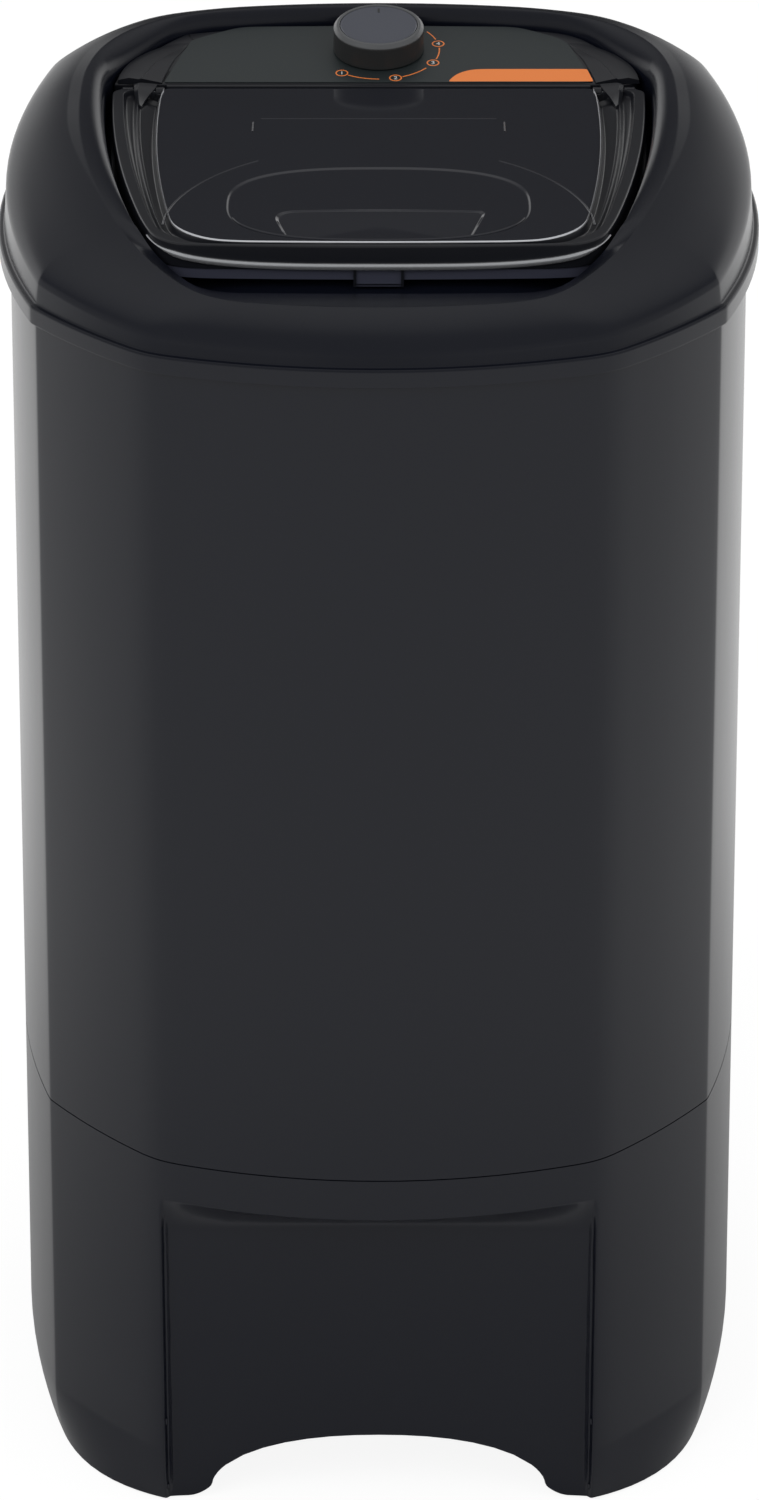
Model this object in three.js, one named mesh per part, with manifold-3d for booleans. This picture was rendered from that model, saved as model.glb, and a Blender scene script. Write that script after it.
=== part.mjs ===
// Household spin dryer: a bowed eight-sided cabinet on an arched base, a domed cover with a
// smoked lid and a sloping timer panel, and inside it a tub, a perforated basket and a
// brake motor hung on rubber mounts. Millimetres, +Z up, front towards -Y, floor at z = 0.
import * as THREE from 'three';
import { mergeVertices } from 'three/addons/utils/BufferGeometryUtils.js';
import Module from 'manifold-3d';

const wasm = await Module();
wasm.setup();

// ---------------------------------------------------------------- driving dimensions
const gap = 0.3;                 // between pieces that touch
const wall = 3;                  // moulded shells

const plan = {                   // at the foot of the top cover
  frontHalf: 127.7, frontDepth: 203, sideHalf: 193.4, sideDepth: 134,
  sideBow: 21.6, frontBow: 22.7, facetBow: 3,
};
const flarePerMm = 0.0305 / 507; // the cabinet widens this much of its plan per mm downwards

const heights = { sole: 1.5, seam: 245.8, lip: 752.7 };
const lip = { height: 10.5, proud: 3.5, ledge: 4 };

const ridge = { front: 787, slope: 0.0787 };                     // the bowl's edge, front to back
const shoulderDrop = { front: 17, back: 6, from: -70, to: 120 }; // cover edge below the ridge
const panelFront = plan.frontDepth - 77;   // the timer panel's lower edge, behind the lid
const lidFront = plan.frontDepth - 76.5;   // the lid's front edge
const paneFront = lidFront - 4.5;
const ridgePlan = {
  frontHalf: 92, frontDepth: plan.frontDepth - 19, sideHalf: 146, sideFront: -87, rearHalf: 172,
  sideRear: panelFront + 14, backHalf: 118, backDepth: plan.frontDepth - 7,
  frontBow: 11, facetBow: 6, sideBow: 15, backBow: 14,
};
const well = {
  frontHalf: 92, frontDepth: lidFront + 25.5, sideHalf: 133.5, sideFront: 20.5 - lidFront, rearHalf: 162.5,
  sideRear: panelFront - 1, backHalf: 118, backDepth: plan.frontDepth - 13,
  frontBow: 2, facetBow: 3, sideBow: 9, backBow: 14, seat: 775.7, trough: 13, slopeDrop: 17,
};
const mouth = { halfX: 120, halfY: lidFront - 22.5, centreY: -3, power: 2.6, collar: 26 };

const lid = {
  frontHalf: 106, frontDepth: lidFront, sideHalf: 129.5, sideFront: 20.5 - lidFront, rearHalf: 160,
  rear: panelFront - 14, rearEdge: panelFront - 9.5, backHalf: 155, frontBow: 3, cornerBow: 4, sideBow: 7,
  frontTop: 797, rearTop: 800.3, frameHeight: 14.5, skirtInset: 3, pane: 3, chamfer: 1.2,
};
const pane = {
  frontHalf: 84, frontDepth: paneFront, sideHalf: 117, sideFront: 34 - paneFront, rearHalf: 131,
  rear: panelFront - 22, rearEdge: panelFront - 14, backHalf: 124,
  frontBow: 2, cornerBow: 9, sideBow: 5, sunk: 1.2,
};
const trim = { height: 3, thickness: 1.6, halfAngle: 118, rise: 7.5, lowest: 783.4 };

const hinge = { y: panelFront - 6.5, z: 797.3, pin: 2, bore: 2.3, knuckle: 2.9, inner: 129, length: 26 };

const panel = { front: panelFront, frontZ: 800, tilt: 9.1 * Math.PI / 180, plate: 3, side: 1 };
const overlay = {
  thickness: 0.6, frontHalf: 129.5, midHalf: 114.7, midY: panelFront + 52, backHalf: 83.4,
  backY: panelFront + 70.6, shaftClear: 2,
};
const knob = {
  y: panelFront + 41.3, radius: 27.6, height: 16.6, stand: 0.8, skin: 5, inlay: 23.4, dish: 2.2, cap: 1.6,
  hub: 7, crown: 5,
};
const timer = { radius: 21, height: 20, shaft: 3, ear: 30, earHalf: 7, earThickness: 2.5 };

const tub = { radius: 192, wall: 2.5, bottom: 262, flangeWidth: 6, hub: 34, hubRise: 16, corner: 8 };
const basket = {
  radius: 166, foot: 150, wall: 0.8, bottom: 296, top: 716, mouth: 128, shoulder: 16, rim: 3, hubRise: 10,
  holeRows: 3, holesPerRow: 8, hole: 4, firstRow: 380, rowPitch: 120, hub: 26,
};
const shaft = { radius: 8, bore: 8.4, low: 26, top: 322, flange: 20, flangeDrop: 6 };
const motor = {
  radius: 68, low: 46, split: 97, wall: 2, flange: 84, flangeThickness: 4, rotor: 34, stator: 36.5,
  bearing: 17, bearingHeight: 10, pocketWall: 4, pocketDepth: 11, corner: 8, windingInset: 32,
};
const plate = { z: 148, thickness: 3, radius: 134, mountRadius: 118, hole: 24 };
const deck = { z: 58, thickness: 4, hole: 90, post: 15, postTop: 112 };
const mount = { radius: 13, waist: 9, bolt: 3.5, boltDepth: 18, head: 7, headHeight: 5, threadClear: 0.5 };
const drum = { radius: 45, z: 162, height: 18, wall: 4 };
const brake = {
  pivotX: 46, y: 66, reach: 122, barWidth: 12, barHeight: 6, shoe: 24, shoeLap: 3, clear: 2.6,
  pin: 4, collar: 9, tip: 1.3,
};
const cable = { radius: 2.2 };
const loom = { radius: 3.5 };
const foot = {
  radius: 15, height: 9, x: 128, y: plan.frontDepth - 33, stem: 5, stemHeight: 7, bevel: 2, pad: 24,
};

// ---------------------------------------------------------------- materials
const finish = (colour, roughness, metalness = 0) =>
  new THREE.MeshStandardMaterial({ color: colour, roughness, metalness });
const shellBlack = finish(0x292a2e, 0.28);
const lidBlack = finish(0x232427, 0.35);
const filmGrey = finish(0x383c3d, 0.45);
const smoked = finish(0x2b2c30, 0.12);
const trimSilver = finish(0xa5a7aa, 0.3, 0.6);
const inlayBlue = finish(0x4d5059, 0.4);
const knobBlack = finish(0x212322, 0.45);
const tubGrey = finish(0xb9bcbe, 0.5);
const basketSteel = finish(0xb4b7ba, 0.35, 0.9);
const steel = finish(0x9da1a5, 0.35, 0.9);
const motorGrey = finish(0x6f7478, 0.5, 0.7);
const copper = finish(0xa4622f, 0.45, 0.8);
const rubber = finish(0x18191a, 0.9);
const white = finish(0xd8d9d6, 0.6);

// ---------------------------------------------------------------- geometry tools
// A closed mesh as a solid for joining and cutting.
function solidOf(geometry) {
  const copy = bare(geometry.clone());
  const merged = mergeVertices(copy, 1e-3);
  const triangles = [];
  for (let i = 0; i < merged.index.count; i += 3) {
    const [a, b, c] = [merged.index.getX(i), merged.index.getX(i + 1), merged.index.getX(i + 2)];
    if (a !== b && b !== c && c !== a) triangles.push(a, b, c);
  }
  return new wasm.Manifold(new wasm.Mesh({
    numProp: 3,
    vertProperties: new Float32Array(merged.attributes.position.array),
    triVerts: new Uint32Array(triangles),
  }));
}

function geometryOf(solid) {
  const data = solid.getMesh();
  const geometry = new THREE.BufferGeometry();
  geometry.setAttribute('position', new THREE.BufferAttribute(new Float32Array(data.vertProperties), 3));
  geometry.setIndex(new THREE.BufferAttribute(new Uint32Array(data.triVerts), 1));
  return geometry;
}

const cut = (geometry, ...tools) =>
  geometryOf(tools.reduce((solid, tool) => solid.subtract(solidOf(tool)), solidOf(geometry)));
const join = (geometry, ...others) =>
  geometryOf(others.reduce((solid, other) => solid.add(solidOf(other)), solidOf(geometry)));
const common = (geometry, other) => geometryOf(solidOf(geometry).intersect(solidOf(other)));

// Turns a mesh the right way out: its signed volume is positive when its faces point outwards.
function outwards(positions, index) {
  let volume = 0;
  const [a, b, c] = [new THREE.Vector3(), new THREE.Vector3(), new THREE.Vector3()];
  for (let i = 0; i < index.length; i += 3) {
    a.fromArray(positions, 3 * index[i]);
    b.fromArray(positions, 3 * index[i + 1]);
    c.fromArray(positions, 3 * index[i + 2]);
    volume += a.dot(b.cross(c));
  }
  return volume >= 0 ? index : index.slice().reverse();
}

// Rings of the same number of points, joined into a skin: closed on itself, or capped at its ends.
function loft(rings, closed) {
  const count = rings[0].length;
  const positions = rings.flat(2);
  const index = [];
  const spans = closed ? rings.length : rings.length - 1;
  for (let r = 0; r < spans; r++) {
    const low = r * count;
    const high = ((r + 1) % rings.length) * count;
    for (let i = 0; i < count; i++) {
      const j = (i + 1) % count;
      index.push(low + i, low + j, high + j, low + i, high + j, high + i);
    }
  }
  if (!closed) {
    for (const [ring, flip] of [[0, true], [rings.length - 1, false]]) {
      const outline = rings[ring].map(([x, y]) => new THREE.Vector2(x, y));
      const fan = Array.from({ length: count - 2 }, (_, i) => [0, i + 1, i + 2]);
      for (const [a, b, c] of count <= tubeSides ? fan : THREE.ShapeUtils.triangulateShape(outline, [])) {
        const base = ring * count;
        index.push(base + a, base + (flip ? c : b), base + (flip ? b : c));
      }
    }
  }
  const geometry = new THREE.BufferGeometry();
  geometry.setAttribute('position', new THREE.Float32BufferAttribute(positions, 3));
  geometry.setIndex(outwards(positions, index));
  return geometry;
}

// A profile of [radius, z] points turned about the Z axis; it ends on the axis or closes on itself.
function turned(profile, sides = 20) {
  const points = profile.map(([r, z]) => new THREE.Vector2(r, z));
  const geometry = mergeVertices(bare(new THREE.LatheGeometry(points, sides).rotateX(Math.PI / 2)), 1e-4);
  geometry.setIndex(outwards(geometry.attributes.position.array, Array.from(geometry.index.array)));
  return geometryOf(solidOf(geometry));
}

function bare(geometry) {
  geometry.deleteAttribute('normal');
  geometry.deleteAttribute('uv');
  return geometry;
}

const rod = (radius, low, high, sides = 14) =>
  turned([[0, low], [radius, low], [radius, high], [0, high]], sides);
const tube = (outer, inner, low, high, sides = 20) =>
  turned([[inner, low], [outer, low], [outer, high], [inner, high], [inner, low]], sides);

// A rod along X, centred on x.
const crossRod = (radius, x, y, z, length, sides = 12) =>
  rod(radius, -length / 2, length / 2, sides).rotateY(Math.PI / 2).translate(x, y, z);

const block = (x0, x1, y0, y1, z0, z1) =>
  new THREE.BoxGeometry(x1 - x0, y1 - y0, z1 - z0)
    .translate((x0 + x1) / 2, (y0 + y1) / 2, (z0 + z1) / 2);

// A tube of eight sides along a smooth line through the points, with more rings where the
// points lie closer; each ring is turned as little as can be from the one before it.
const tubeSides = 8;
function run(points, radius, ringsPerSpan = 2) {
  const curve = new THREE.CatmullRomCurve3(points.map((p) => new THREE.Vector3(...p)), false, 'centripetal');
  const count = (points.length - 1) * ringsPerSpan;
  const across = new THREE.Vector3(1, 0, 0);
  const rings = [];
  for (let k = 0; k <= count; k++) {
    const [centre, along] = [curve.getPoint(k / count), curve.getTangent(k / count)];
    if (k === 0 && Math.abs(along.x) > 0.9) across.set(0, 1, 0);
    across.addScaledVector(along, -across.dot(along)).normalize();
    const other = along.clone().cross(across);
    rings.push(Array.from({ length: tubeSides }, (_, i) => {
      const turn = i * 2 * Math.PI / tubeSides;
      return centre.clone().addScaledVector(across, radius * Math.cos(turn))
        .addScaledVector(other, radius * Math.sin(turn)).toArray();
    }));
  }
  return loft(rings, false);
}

// ---------------------------------------------------------------- outlines
const steps = { front: 6, facet: 3, side: 6 };   // facets along each stretch of a loop

// A closed loop through corners; each stretch bows outwards as a parabola of its own rise.
function bowedLoop(stretches) {
  const loop = [];
  stretches.forEach(({ from, bow, count }, k) => {
    const to = stretches[(k + 1) % stretches.length].from;
    const [dx, dy] = [to[0] - from[0], to[1] - from[1]];
    const length = Math.hypot(dx, dy);
    for (let i = 0; i < count; i++) {
      const t = i / count;
      const rise = 4 * t * (1 - t) * bow;
      loop.push([from[0] + t * dx + rise * dy / length, from[1] + t * dy - rise * dx / length]);
    }
  });
  return loop;
}

// Eight corners, mirrored left to right, starting at the front left one.
function eightSided(p, bows) {
  const corners = [
    [-p.frontHalf, -p.frontDepth], [p.frontHalf, -p.frontDepth], [p.sideHalf, p.sideFront],
    [p.rearHalf, p.sideRear], [p.backHalf, p.backDepth], [-p.backHalf, p.backDepth],
    [-p.rearHalf, p.sideRear], [-p.sideHalf, p.sideFront],
  ];
  const counts = [steps.front, steps.facet, steps.side, steps.facet];
  const bow = [p.frontBow, p.facetBow, p.sideBow, p.rearFacetBow ?? p.facetBow, p.backBow];
  const order = [0, 1, 2, 3, 4, 3, 2, 1];
  return bowedLoop(corners.map((from, k) => ({ from, bow: bow[order[k]], count: counts[k % 4] })));
}

const planLoop = (scale = 1) => eightSided({
  frontHalf: plan.frontHalf * scale, frontDepth: plan.frontDepth * scale,
  sideHalf: plan.sideHalf * scale, sideFront: -plan.sideDepth * scale,
  rearHalf: plan.sideHalf * scale, sideRear: plan.sideDepth * scale,
  backHalf: plan.frontHalf * scale, backDepth: plan.frontDepth * scale,
  frontBow: plan.frontBow * scale, facetBow: plan.facetBow * scale,
  sideBow: plan.sideBow * scale, backBow: plan.frontBow * scale,
});
const ridgeLoop = eightSided(ridgePlan);
const wellLoop = eightSided(well);

// Moves a loop along its own normals, outwards where the distance is positive.
function offset(loop, distance) {
  return loop.map(([x, y], i) => {
    const [px, py] = loop[(i + loop.length - 1) % loop.length];
    const [nx, ny] = loop[(i + 1) % loop.length];
    const before = new THREE.Vector2(y - py, px - x).normalize();
    const after = new THREE.Vector2(ny - y, x - nx).normalize();
    const normal = before.clone().add(after).normalize();
    const reach = distance / Math.max(0.5, normal.dot(before));
    return [x + normal.x * reach, y + normal.y * reach];
  });
}

const lift = (loop, z) => loop.map(([x, y]) => [x, y, typeof z === 'function' ? z(y) : z]);
const mix = (a, b, t) => a + (b - a) * t;
const ease = THREE.MathUtils.smoothstep;

// A flat outline as a slab between two heights.
function slab(loop, low, high) {
  return loft([lift(loop, low), lift(loop, high)], false);
}

const scaleAt = (z) => 1 + (heights.lip - z) * flarePerMm;
const cabinetRing = (z, inset = 0) => lift(offset(planLoop(scaleAt(z)), -inset), z);
const circleLike = (loop, radius) => loop.map(([x, y]) => {
  const r = Math.hypot(x, y);
  return [x * radius / r, y * radius / r];
});

// ---------------------------------------------------------------- assembly
const machine = new THREE.Group();

function add(name, geometry, material) {
  const mesh = new THREE.Mesh(geometry, material);
  mesh.name = name;
  machine.add(mesh);
  return mesh;
}

// ---------------------------------------------------------------- base
// The plinth narrows and loses its creases towards the floor; its back is flat enough to
// reach no further than the front does.
const sole = { round: 42, tuck: 6, bow: 9 };
const recess = { top: 220, blend: 26, half: 131, depth: plan.frontDepth + 2, hollow: 5 };
const arch = { half: 104, height: 42, power: 2.3, deep: 90, flare: 6, splay: 118 };
const backLimit = (plan.frontDepth + plan.frontBow) * scaleAt(recess.top);

function baseRing(z, inset) {
  const s = scaleAt(z);
  const t = Math.max(0, 1 - z / sole.round);
  const drawn = sole.tuck * t * t + inset;
  const rounder = eightSided({
    frontHalf: plan.frontHalf * s, frontDepth: plan.frontDepth * s,
    sideHalf: plan.sideHalf * s, sideFront: -plan.sideDepth * s,
    rearHalf: plan.sideHalf * s, sideRear: plan.sideDepth * s,
    backHalf: plan.frontHalf * s, backDepth: plan.frontDepth * s,
    frontBow: plan.frontBow * s, facetBow: plan.facetBow + sole.bow * t,
    sideBow: plan.sideBow * s, backBow: plan.frontBow * s,
  });
  const limited = offset(rounder, -drawn).map(([x, y]) => [x, Math.min(y, backLimit - inset)]);
  return lift(limited, z);
}

// What the scooped front takes away: a slightly hollow face that runs out to the bowed front
// at its top edge, moved back by the wall for the inside.
function recessTool(moved) {
  const far = -plan.frontDepth - 100;
  const half = recess.half - moved;
  const across = 8;
  const ring = (z, t) => {
    const rise = mix(-recess.hollow, plan.frontBow * scaleAt(recess.top) + 2, t);
    const depth = mix(recess.depth, plan.frontDepth * scaleAt(recess.top), t) - moved;
    const face = Array.from({ length: across + 1 }, (_, i) => {
      const u = 1 - 2 * i / across;
      return [u * half, -depth - rise * (1 - u * u)];
    });
    return lift([[-half, far], [half, far], ...face], z);
  };
  const top = recess.top + moved;
  const blend = [1, 0.6, 0.3, 0.12].map((k) => ring(top - recess.blend * k, (1 - k) ** 1.6));
  return loft([ring(-10, 0), ...blend, ring(top, 1)], false);
}

function superLoop(halfX, halfY, power, centreY, count = 28) {
  return Array.from({ length: count }, (_, i) => {
    const turn = i * 2 * Math.PI / count;
    const [c, s] = [Math.cos(turn), Math.sin(turn)];
    return [Math.sign(c) * halfX * Math.abs(c) ** (2 / power),
      centreY + Math.sign(s) * halfY * Math.abs(s) ** (2 / power)];
  });
}

// The arched way through the front or back wall, splayed at the floor, as a slab stood on edge.
function archTool(direction) {
  const crown = superLoop(arch.half, arch.height, arch.power, 0).filter(([, z]) => z > arch.flare);
  const upright = slab([...crown, [-arch.splay, -1], [arch.splay, -1]], 0, arch.deep).rotateX(Math.PI / 2);
  const face = plan.frontDepth + 40;
  return upright.translate(0, direction < 0 ? -face + arch.deep : face, heights.sole);
}

const baseLevels = [heights.sole, 13, 26, sole.round, recess.top, heights.seam - gap / 2];
const tongue = { height: 12, inset: wall + gap, wall: 3 };
const outerBase = loft([...baseLevels.map((z) => baseRing(z, 0)),
  ...[heights.seam - gap / 2, heights.seam + tongue.height].map((z) => cabinetRing(z, tongue.inset)),
], false);
const innerBase = loft([...[-5, ...baseLevels.slice(1, -1)].map((z) => baseRing(z, wall)),
  cabinetRing(heights.seam - 8, wall),
  ...[heights.seam - 5, heights.seam + 20].map((z) => cabinetRing(z, tongue.inset + tongue.wall)),
], false);
const baseOuterSolid = solidOf(outerBase).subtract(solidOf(recessTool(0)));
const baseInnerSolid = solidOf(innerBase).subtract(solidOf(recessTool(wall)));
const deckTop = deck.z + deck.thickness;
const deckPlate = slab(baseRing(deck.z, wall / 2).map(([x, y]) => [x, y]), deck.z, deckTop);
const mountAngles = [90, 210, 330].map((d) => d * Math.PI / 180);
const mountPlaces = mountAngles.map((turn) =>
  [plate.mountRadius * Math.cos(turn), plate.mountRadius * Math.sin(turn)]);
const posts = mountPlaces.map(([x, y]) =>
  cut(rod(deck.post, deck.z + 1, deck.postTop, 14),
    rod(mount.bolt + mount.threadClear, deck.postTop - mount.boltDepth - 2, deck.postTop + 5, 10))
    .translate(x, y, 0));
const footPlaces = [[-1, -1], [1, -1], [1, 1], [-1, 1]].map(([sx, sy]) => [sx * foot.x, sy * foot.y]);
const footPlate = foot.height + gap;
const footPads = footPlaces.map(([x, y]) => {
  const outline = baseRing(footPlate + 2, wall / 2).map(([px, py]) => [px, py]);
  const corner = block(Math.min(x, x * 2), Math.max(x, x * 2), Math.min(y, y * 2), Math.max(y, y * 2), 0, 60)
    .translate(-Math.sign(x) * foot.pad, -Math.sign(y) * foot.pad, 0);
  return common(slab(outline, footPlate, footPlate + wall), corner);
});
const gland = { x: -70, z: 92, radius: 9, bore: 4, flange: 12, thickness: 2.5 };
const drain = { x: 0, y: 150, z: 176, radius: 11, bore: 8.5, tubHole: 9 };
const rearWallAt = (x, z) => Math.min(backLimit,
  (plan.frontDepth + plan.frontBow * (1 - (x / (plan.frontHalf * scaleAt(z))) ** 2)) * scaleAt(z));
const alongY = (radius, x, z, y0, y1, sides = 12) =>
  rod(radius, -y1, -y0, sides).rotateX(Math.PI / 2).translate(x, 0, z);

let base = baseOuterSolid.subtract(baseInnerSolid)
  .add(solidOf(deckPlate).subtract(solidOf(recessTool(1))));
base = base.subtract(solidOf(rod(deck.hole, deck.z - 1, deckTop + 1, 24)));
for (const piece of [...posts, ...footPads]) base = base.add(solidOf(piece));
const stemHole = foot.stem + 2 * gap;
for (const [x, y] of footPlaces) base = base.subtract(solidOf(rod(stemHole, 0, 40, 12).translate(x, y, 0)));
base = base.subtract(solidOf(archTool(-1))).subtract(solidOf(archTool(1)))
  .subtract(solidOf(alongY(gland.radius + 2 * gap, gland.x, gland.z, 150, 260)))
  .subtract(solidOf(alongY(drain.radius + 3 * gap, drain.x, drain.z, 150, 260)));

// ---------------------------------------------------------------- cabinet
const cabinetTop = heights.lip + 7.3;
const flangeBore = tub.radius + 2.5;
const ductReach = tub.radius + 13.2;      // the two ways down the rear corners, outside the tub's flange
const duct = { x: ductReach * 0.7023, y: ductReach * 0.7119, loom: 6.4, cable: 4.5 };
const seamScrew = { x: 80, z: heights.seam + 6.5, radius: 1.6, head: 3.4, headHeight: 1.8, length: 9 };
const lipScrew = { ...seamScrew, z: heights.lip + 3.8 };
const screwPlaces = [-1, 1].map((side) => side * seamScrew.x);
const screwSeat = (place) => rearWallAt(place.x - place.head, place.z);
const screwHole = (place, x) =>
  alongY(place.radius + gap, x, place.z, rearWallAt(x, place.z) - 14, rearWallAt(x, place.z) + 8);

const flangeRing = (z) => lift(circleLike(planLoop(1), flangeBore), z);
const cabinetShell = loft([
  cabinetRing(heights.seam + gap / 2), cabinetRing(cabinetTop),
  flangeRing(cabinetTop), flangeRing(cabinetTop - wall),
  cabinetRing(cabinetTop - wall, wall), cabinetRing(heights.seam + gap / 2, wall),
], true);
const cabinetBody = cut(cabinetShell,
  rod(duct.loom, cabinetTop - 10, cabinetTop + 10).translate(duct.x, duct.y, 0),
  rod(duct.cable, cabinetTop - 10, cabinetTop + 10).translate(-duct.x, duct.y, 0),
  ...screwPlaces.map((x) => screwHole(seamScrew, x)), ...screwPlaces.map((x) => screwHole(lipScrew, x)));
for (const x of screwPlaces) base = base.subtract(solidOf(screwHole(seamScrew, x)));

add('base', geometryOf(base), shellBlack);
add('cabinet_body', cabinetBody, shellBlack);

function screw(place, x, seat) {
  return join(alongY(place.radius, x, place.z, seat - place.length, seat + 0.5, 8),
    alongY(place.head, x, place.z, seat + gap, seat + gap + place.headHeight, 12));
}
screwPlaces.forEach((x, i) => add(`base_screw_${i + 1}`, screw(seamScrew, x, screwSeat(seamScrew)), steel));

footPlaces.forEach(([x, y], i) => add(`rubber_foot_${i + 1}`, turned([
  [0, 0], [foot.radius - foot.bevel, 0], [foot.radius, foot.bevel], [foot.radius - foot.bevel, foot.height],
  [foot.stem, foot.height], [foot.stem, foot.height + foot.stemHeight], [0, foot.height + foot.stemHeight],
], 16).translate(x, y, 0), rubber));

// ---------------------------------------------------------------- top cover
const ridgeZ = (y) => ridge.front + (y + ridgePlan.frontDepth + ridgePlan.frontBow) * ridge.slope;
const shoulderZ = (y) =>
  ridgeZ(y) - mix(shoulderDrop.front, shoulderDrop.back, ease(y, shoulderDrop.from, shoulderDrop.to));
const lidTop = (y) => mix(lid.frontTop, lid.rearTop, (y + lid.frontDepth) / (lid.frontDepth + lid.rearEdge));
const panelZ = (y) => panel.frontZ + (y - panel.front) * Math.tan(panel.tilt);
const wellTop = (y) => (y > panel.front ? panelZ(y) - 0.6
  : lidTop(y) - 1 - well.slopeDrop * ease(-y, -well.sideFront - 8, well.frontDepth));
const wellFloor = (y) => well.seat - well.trough * ease(-y, lidFront - 21.5, lidFront + 8.5);

// Between the cover's shoulder and the ridge the skin rolls over like a quarter ellipse.
function rollRing(t, sunk = 0) {
  const outer = offset(planLoop(scaleAt(heights.lip)), -2);
  const across = 1 - Math.cos(t * Math.PI / 2);
  const up = Math.sin(t * Math.PI / 2);
  return outer.map(([x, y], i) => {
    const [rx, ry] = ridgeLoop[i];
    const z = mix(shoulderZ(y), ridgeZ(ry), up);
    return [mix(x, rx, across), mix(y, ry, across), z - sunk];
  });
}
const insetRing = (ring, distance) => offset(ring.map(([x, y]) => [x, y]), -distance)
  .map(([x, y], i) => [x, y, ring[i][2]]);
const rolls = [0, 0.3, 0.55, 0.78, 1];
const lipTop = heights.lip + lip.height;
const mouthLoop = wellLoop.map(([x, y]) => {
  const turn = Math.atan2(y - mouth.centreY, x);
  const [c, s] = [Math.abs(Math.cos(turn)) / mouth.halfX, Math.abs(Math.sin(turn)) / mouth.halfY];
  const r = (c ** mouth.power + s ** mouth.power) ** (-1 / mouth.power);
  return [r * Math.cos(turn), mouth.centreY + r * Math.sin(turn)];
});
const cover = planLoop(1);
const outerCover = [
  lift(offset(cover, lip.proud), heights.lip),
  lift(offset(cover, lip.proud), lipTop - 1), lift(offset(cover, lip.proud - 1), lipTop),
  lift(offset(cover, lip.proud - lip.ledge), lipTop + 0.4),
  ...rolls.map((t) => rollRing(t)),
  lift(wellLoop, wellTop), lift(wellLoop, wellFloor), lift(mouthLoop, well.seat),
  lift(mouthLoop, well.seat - mouth.collar),
];
const innerCover = [
  lift(offset(mouthLoop, wall), well.seat - mouth.collar),
  lift(offset(mouthLoop, wall), well.seat - wall),
  lift(offset(wellLoop, wall), (y) => wellFloor(y) - wall),
  lift(offset(wellLoop, wall), (y) => wellTop(y) - wall),
  ...[1, 0.55, 0].map((t) => insetRing(rollRing(t, wall * t), wall * (1 - t) ** 0.7)),
  lift(offset(cover, lip.proud - lip.ledge - wall), lipTop - wall + 0.4),
  lift(offset(cover, gap), lipTop - wall + 0.2),
  lift(offset(cover, gap), heights.lip),
];
const plunger = { x: -140, y: 60, radius: 3, depth: 8.5 };
const cableEntry = { x: -128, y: panelFront + 24 };
const loomEntry = { x: 0, y: panelFront + 45 };
const entryClear = 2;            // round a lead where it comes up through the bowl's floor
const topCover = cut(loft([...outerCover, ...innerCover], true),
  rod(plunger.radius + gap, well.seat - 10, well.seat + 5, 12).translate(plunger.x, plunger.y, 0),
  rod(cable.radius + entryClear, well.seat - 10, well.seat + 5, 12).translate(cableEntry.x, cableEntry.y, 0),
  rod(loom.radius + entryClear, well.seat - 10, well.seat + 5).translate(loomEntry.x + 1, loomEntry.y, 0),
  ...screwPlaces.map((x) => screwHole(lipScrew, x)));
add('top_cover', topCover, shellBlack);
screwPlaces.forEach((x, i) => add(`cover_screw_${i + 1}`,
  screw(lipScrew, x, screwSeat(lipScrew) + lip.proud), steel));

// ---------------------------------------------------------------- control panel
// Panel pieces are drawn flat, x across, y up the slope and z off its face, then laid on it.
const onPanel = (geometry) => geometry.rotateX(panel.tilt).translate(0, panel.front, panel.frontZ);
const upSlope = (y) => (y - panel.front) / Math.cos(panel.tilt);
const knobV = upSlope(knob.y);
const housing = common(common(
  slab(offset(wellLoop, -panel.side), well.seat + gap, 840),
  onPanel(block(-200, 200, -30, 140, -90, 0))), block(-200, 200, panel.front, 260, 760, 850));
const housingHollow = common(common(
  slab(offset(wellLoop, -panel.side - panel.plate), well.seat - 10, 840),
  onPanel(block(-200, 200, -30, 140, -90, -panel.plate))),
block(-200, 200, panel.front + panel.plate, 260, 740, 850));
const shaftHole = onPanel(rod(timer.shaft + gap, -20, 20, 16).translate(0, knobV, 0));
const lidKnuckle = { from: hinge.inner + 6, to: hinge.inner + 18 };
const fixedKnuckles = [-1, 1].flatMap((side) => [[hinge.inner, lidKnuckle.from - 0.5],
  [lidKnuckle.to + 0.5, hinge.inner + hinge.length - 0.5]].map(([a, b]) => join(
  crossRod(hinge.knuckle, side * (a + b) / 2, hinge.y, hinge.z, b - a),
  block(Math.min(side * a, side * b), Math.max(side * a, side * b), hinge.y, panel.front + 1,
    hinge.z - hinge.knuckle, hinge.z + 0.8))));
const pinBore = crossRod(hinge.bore, 0, hinge.y, hinge.z, 400);
add('control_panel', cut(join(cut(housing, housingHollow), ...fixedKnuckles), shaftHole, pinBore), lidBlack);
for (const [side, name] of [[-1, 'left'], [1, 'right']]) {
  add(`hinge_pin_${name}`,
    crossRod(hinge.pin, side * (hinge.inner + hinge.length / 2), hinge.y, hinge.z, hinge.length), steel);
}

const film = [
  [-overlay.frontHalf, 1.2], [overlay.frontHalf, 1.2], [overlay.midHalf, upSlope(overlay.midY)],
  [overlay.backHalf, upSlope(overlay.backY)], [-overlay.backHalf, upSlope(overlay.backY)],
  [-overlay.midHalf, upSlope(overlay.midY)],
];
const filmTop = overlay.thickness + gap / 2;
add('panel_overlay', onPanel(cut(slab(film, gap / 2, filmTop),
  rod(timer.shaft + overlay.shaftClear, -5, 5, 16).translate(0, knobV, 0))), filmGrey);

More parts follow.
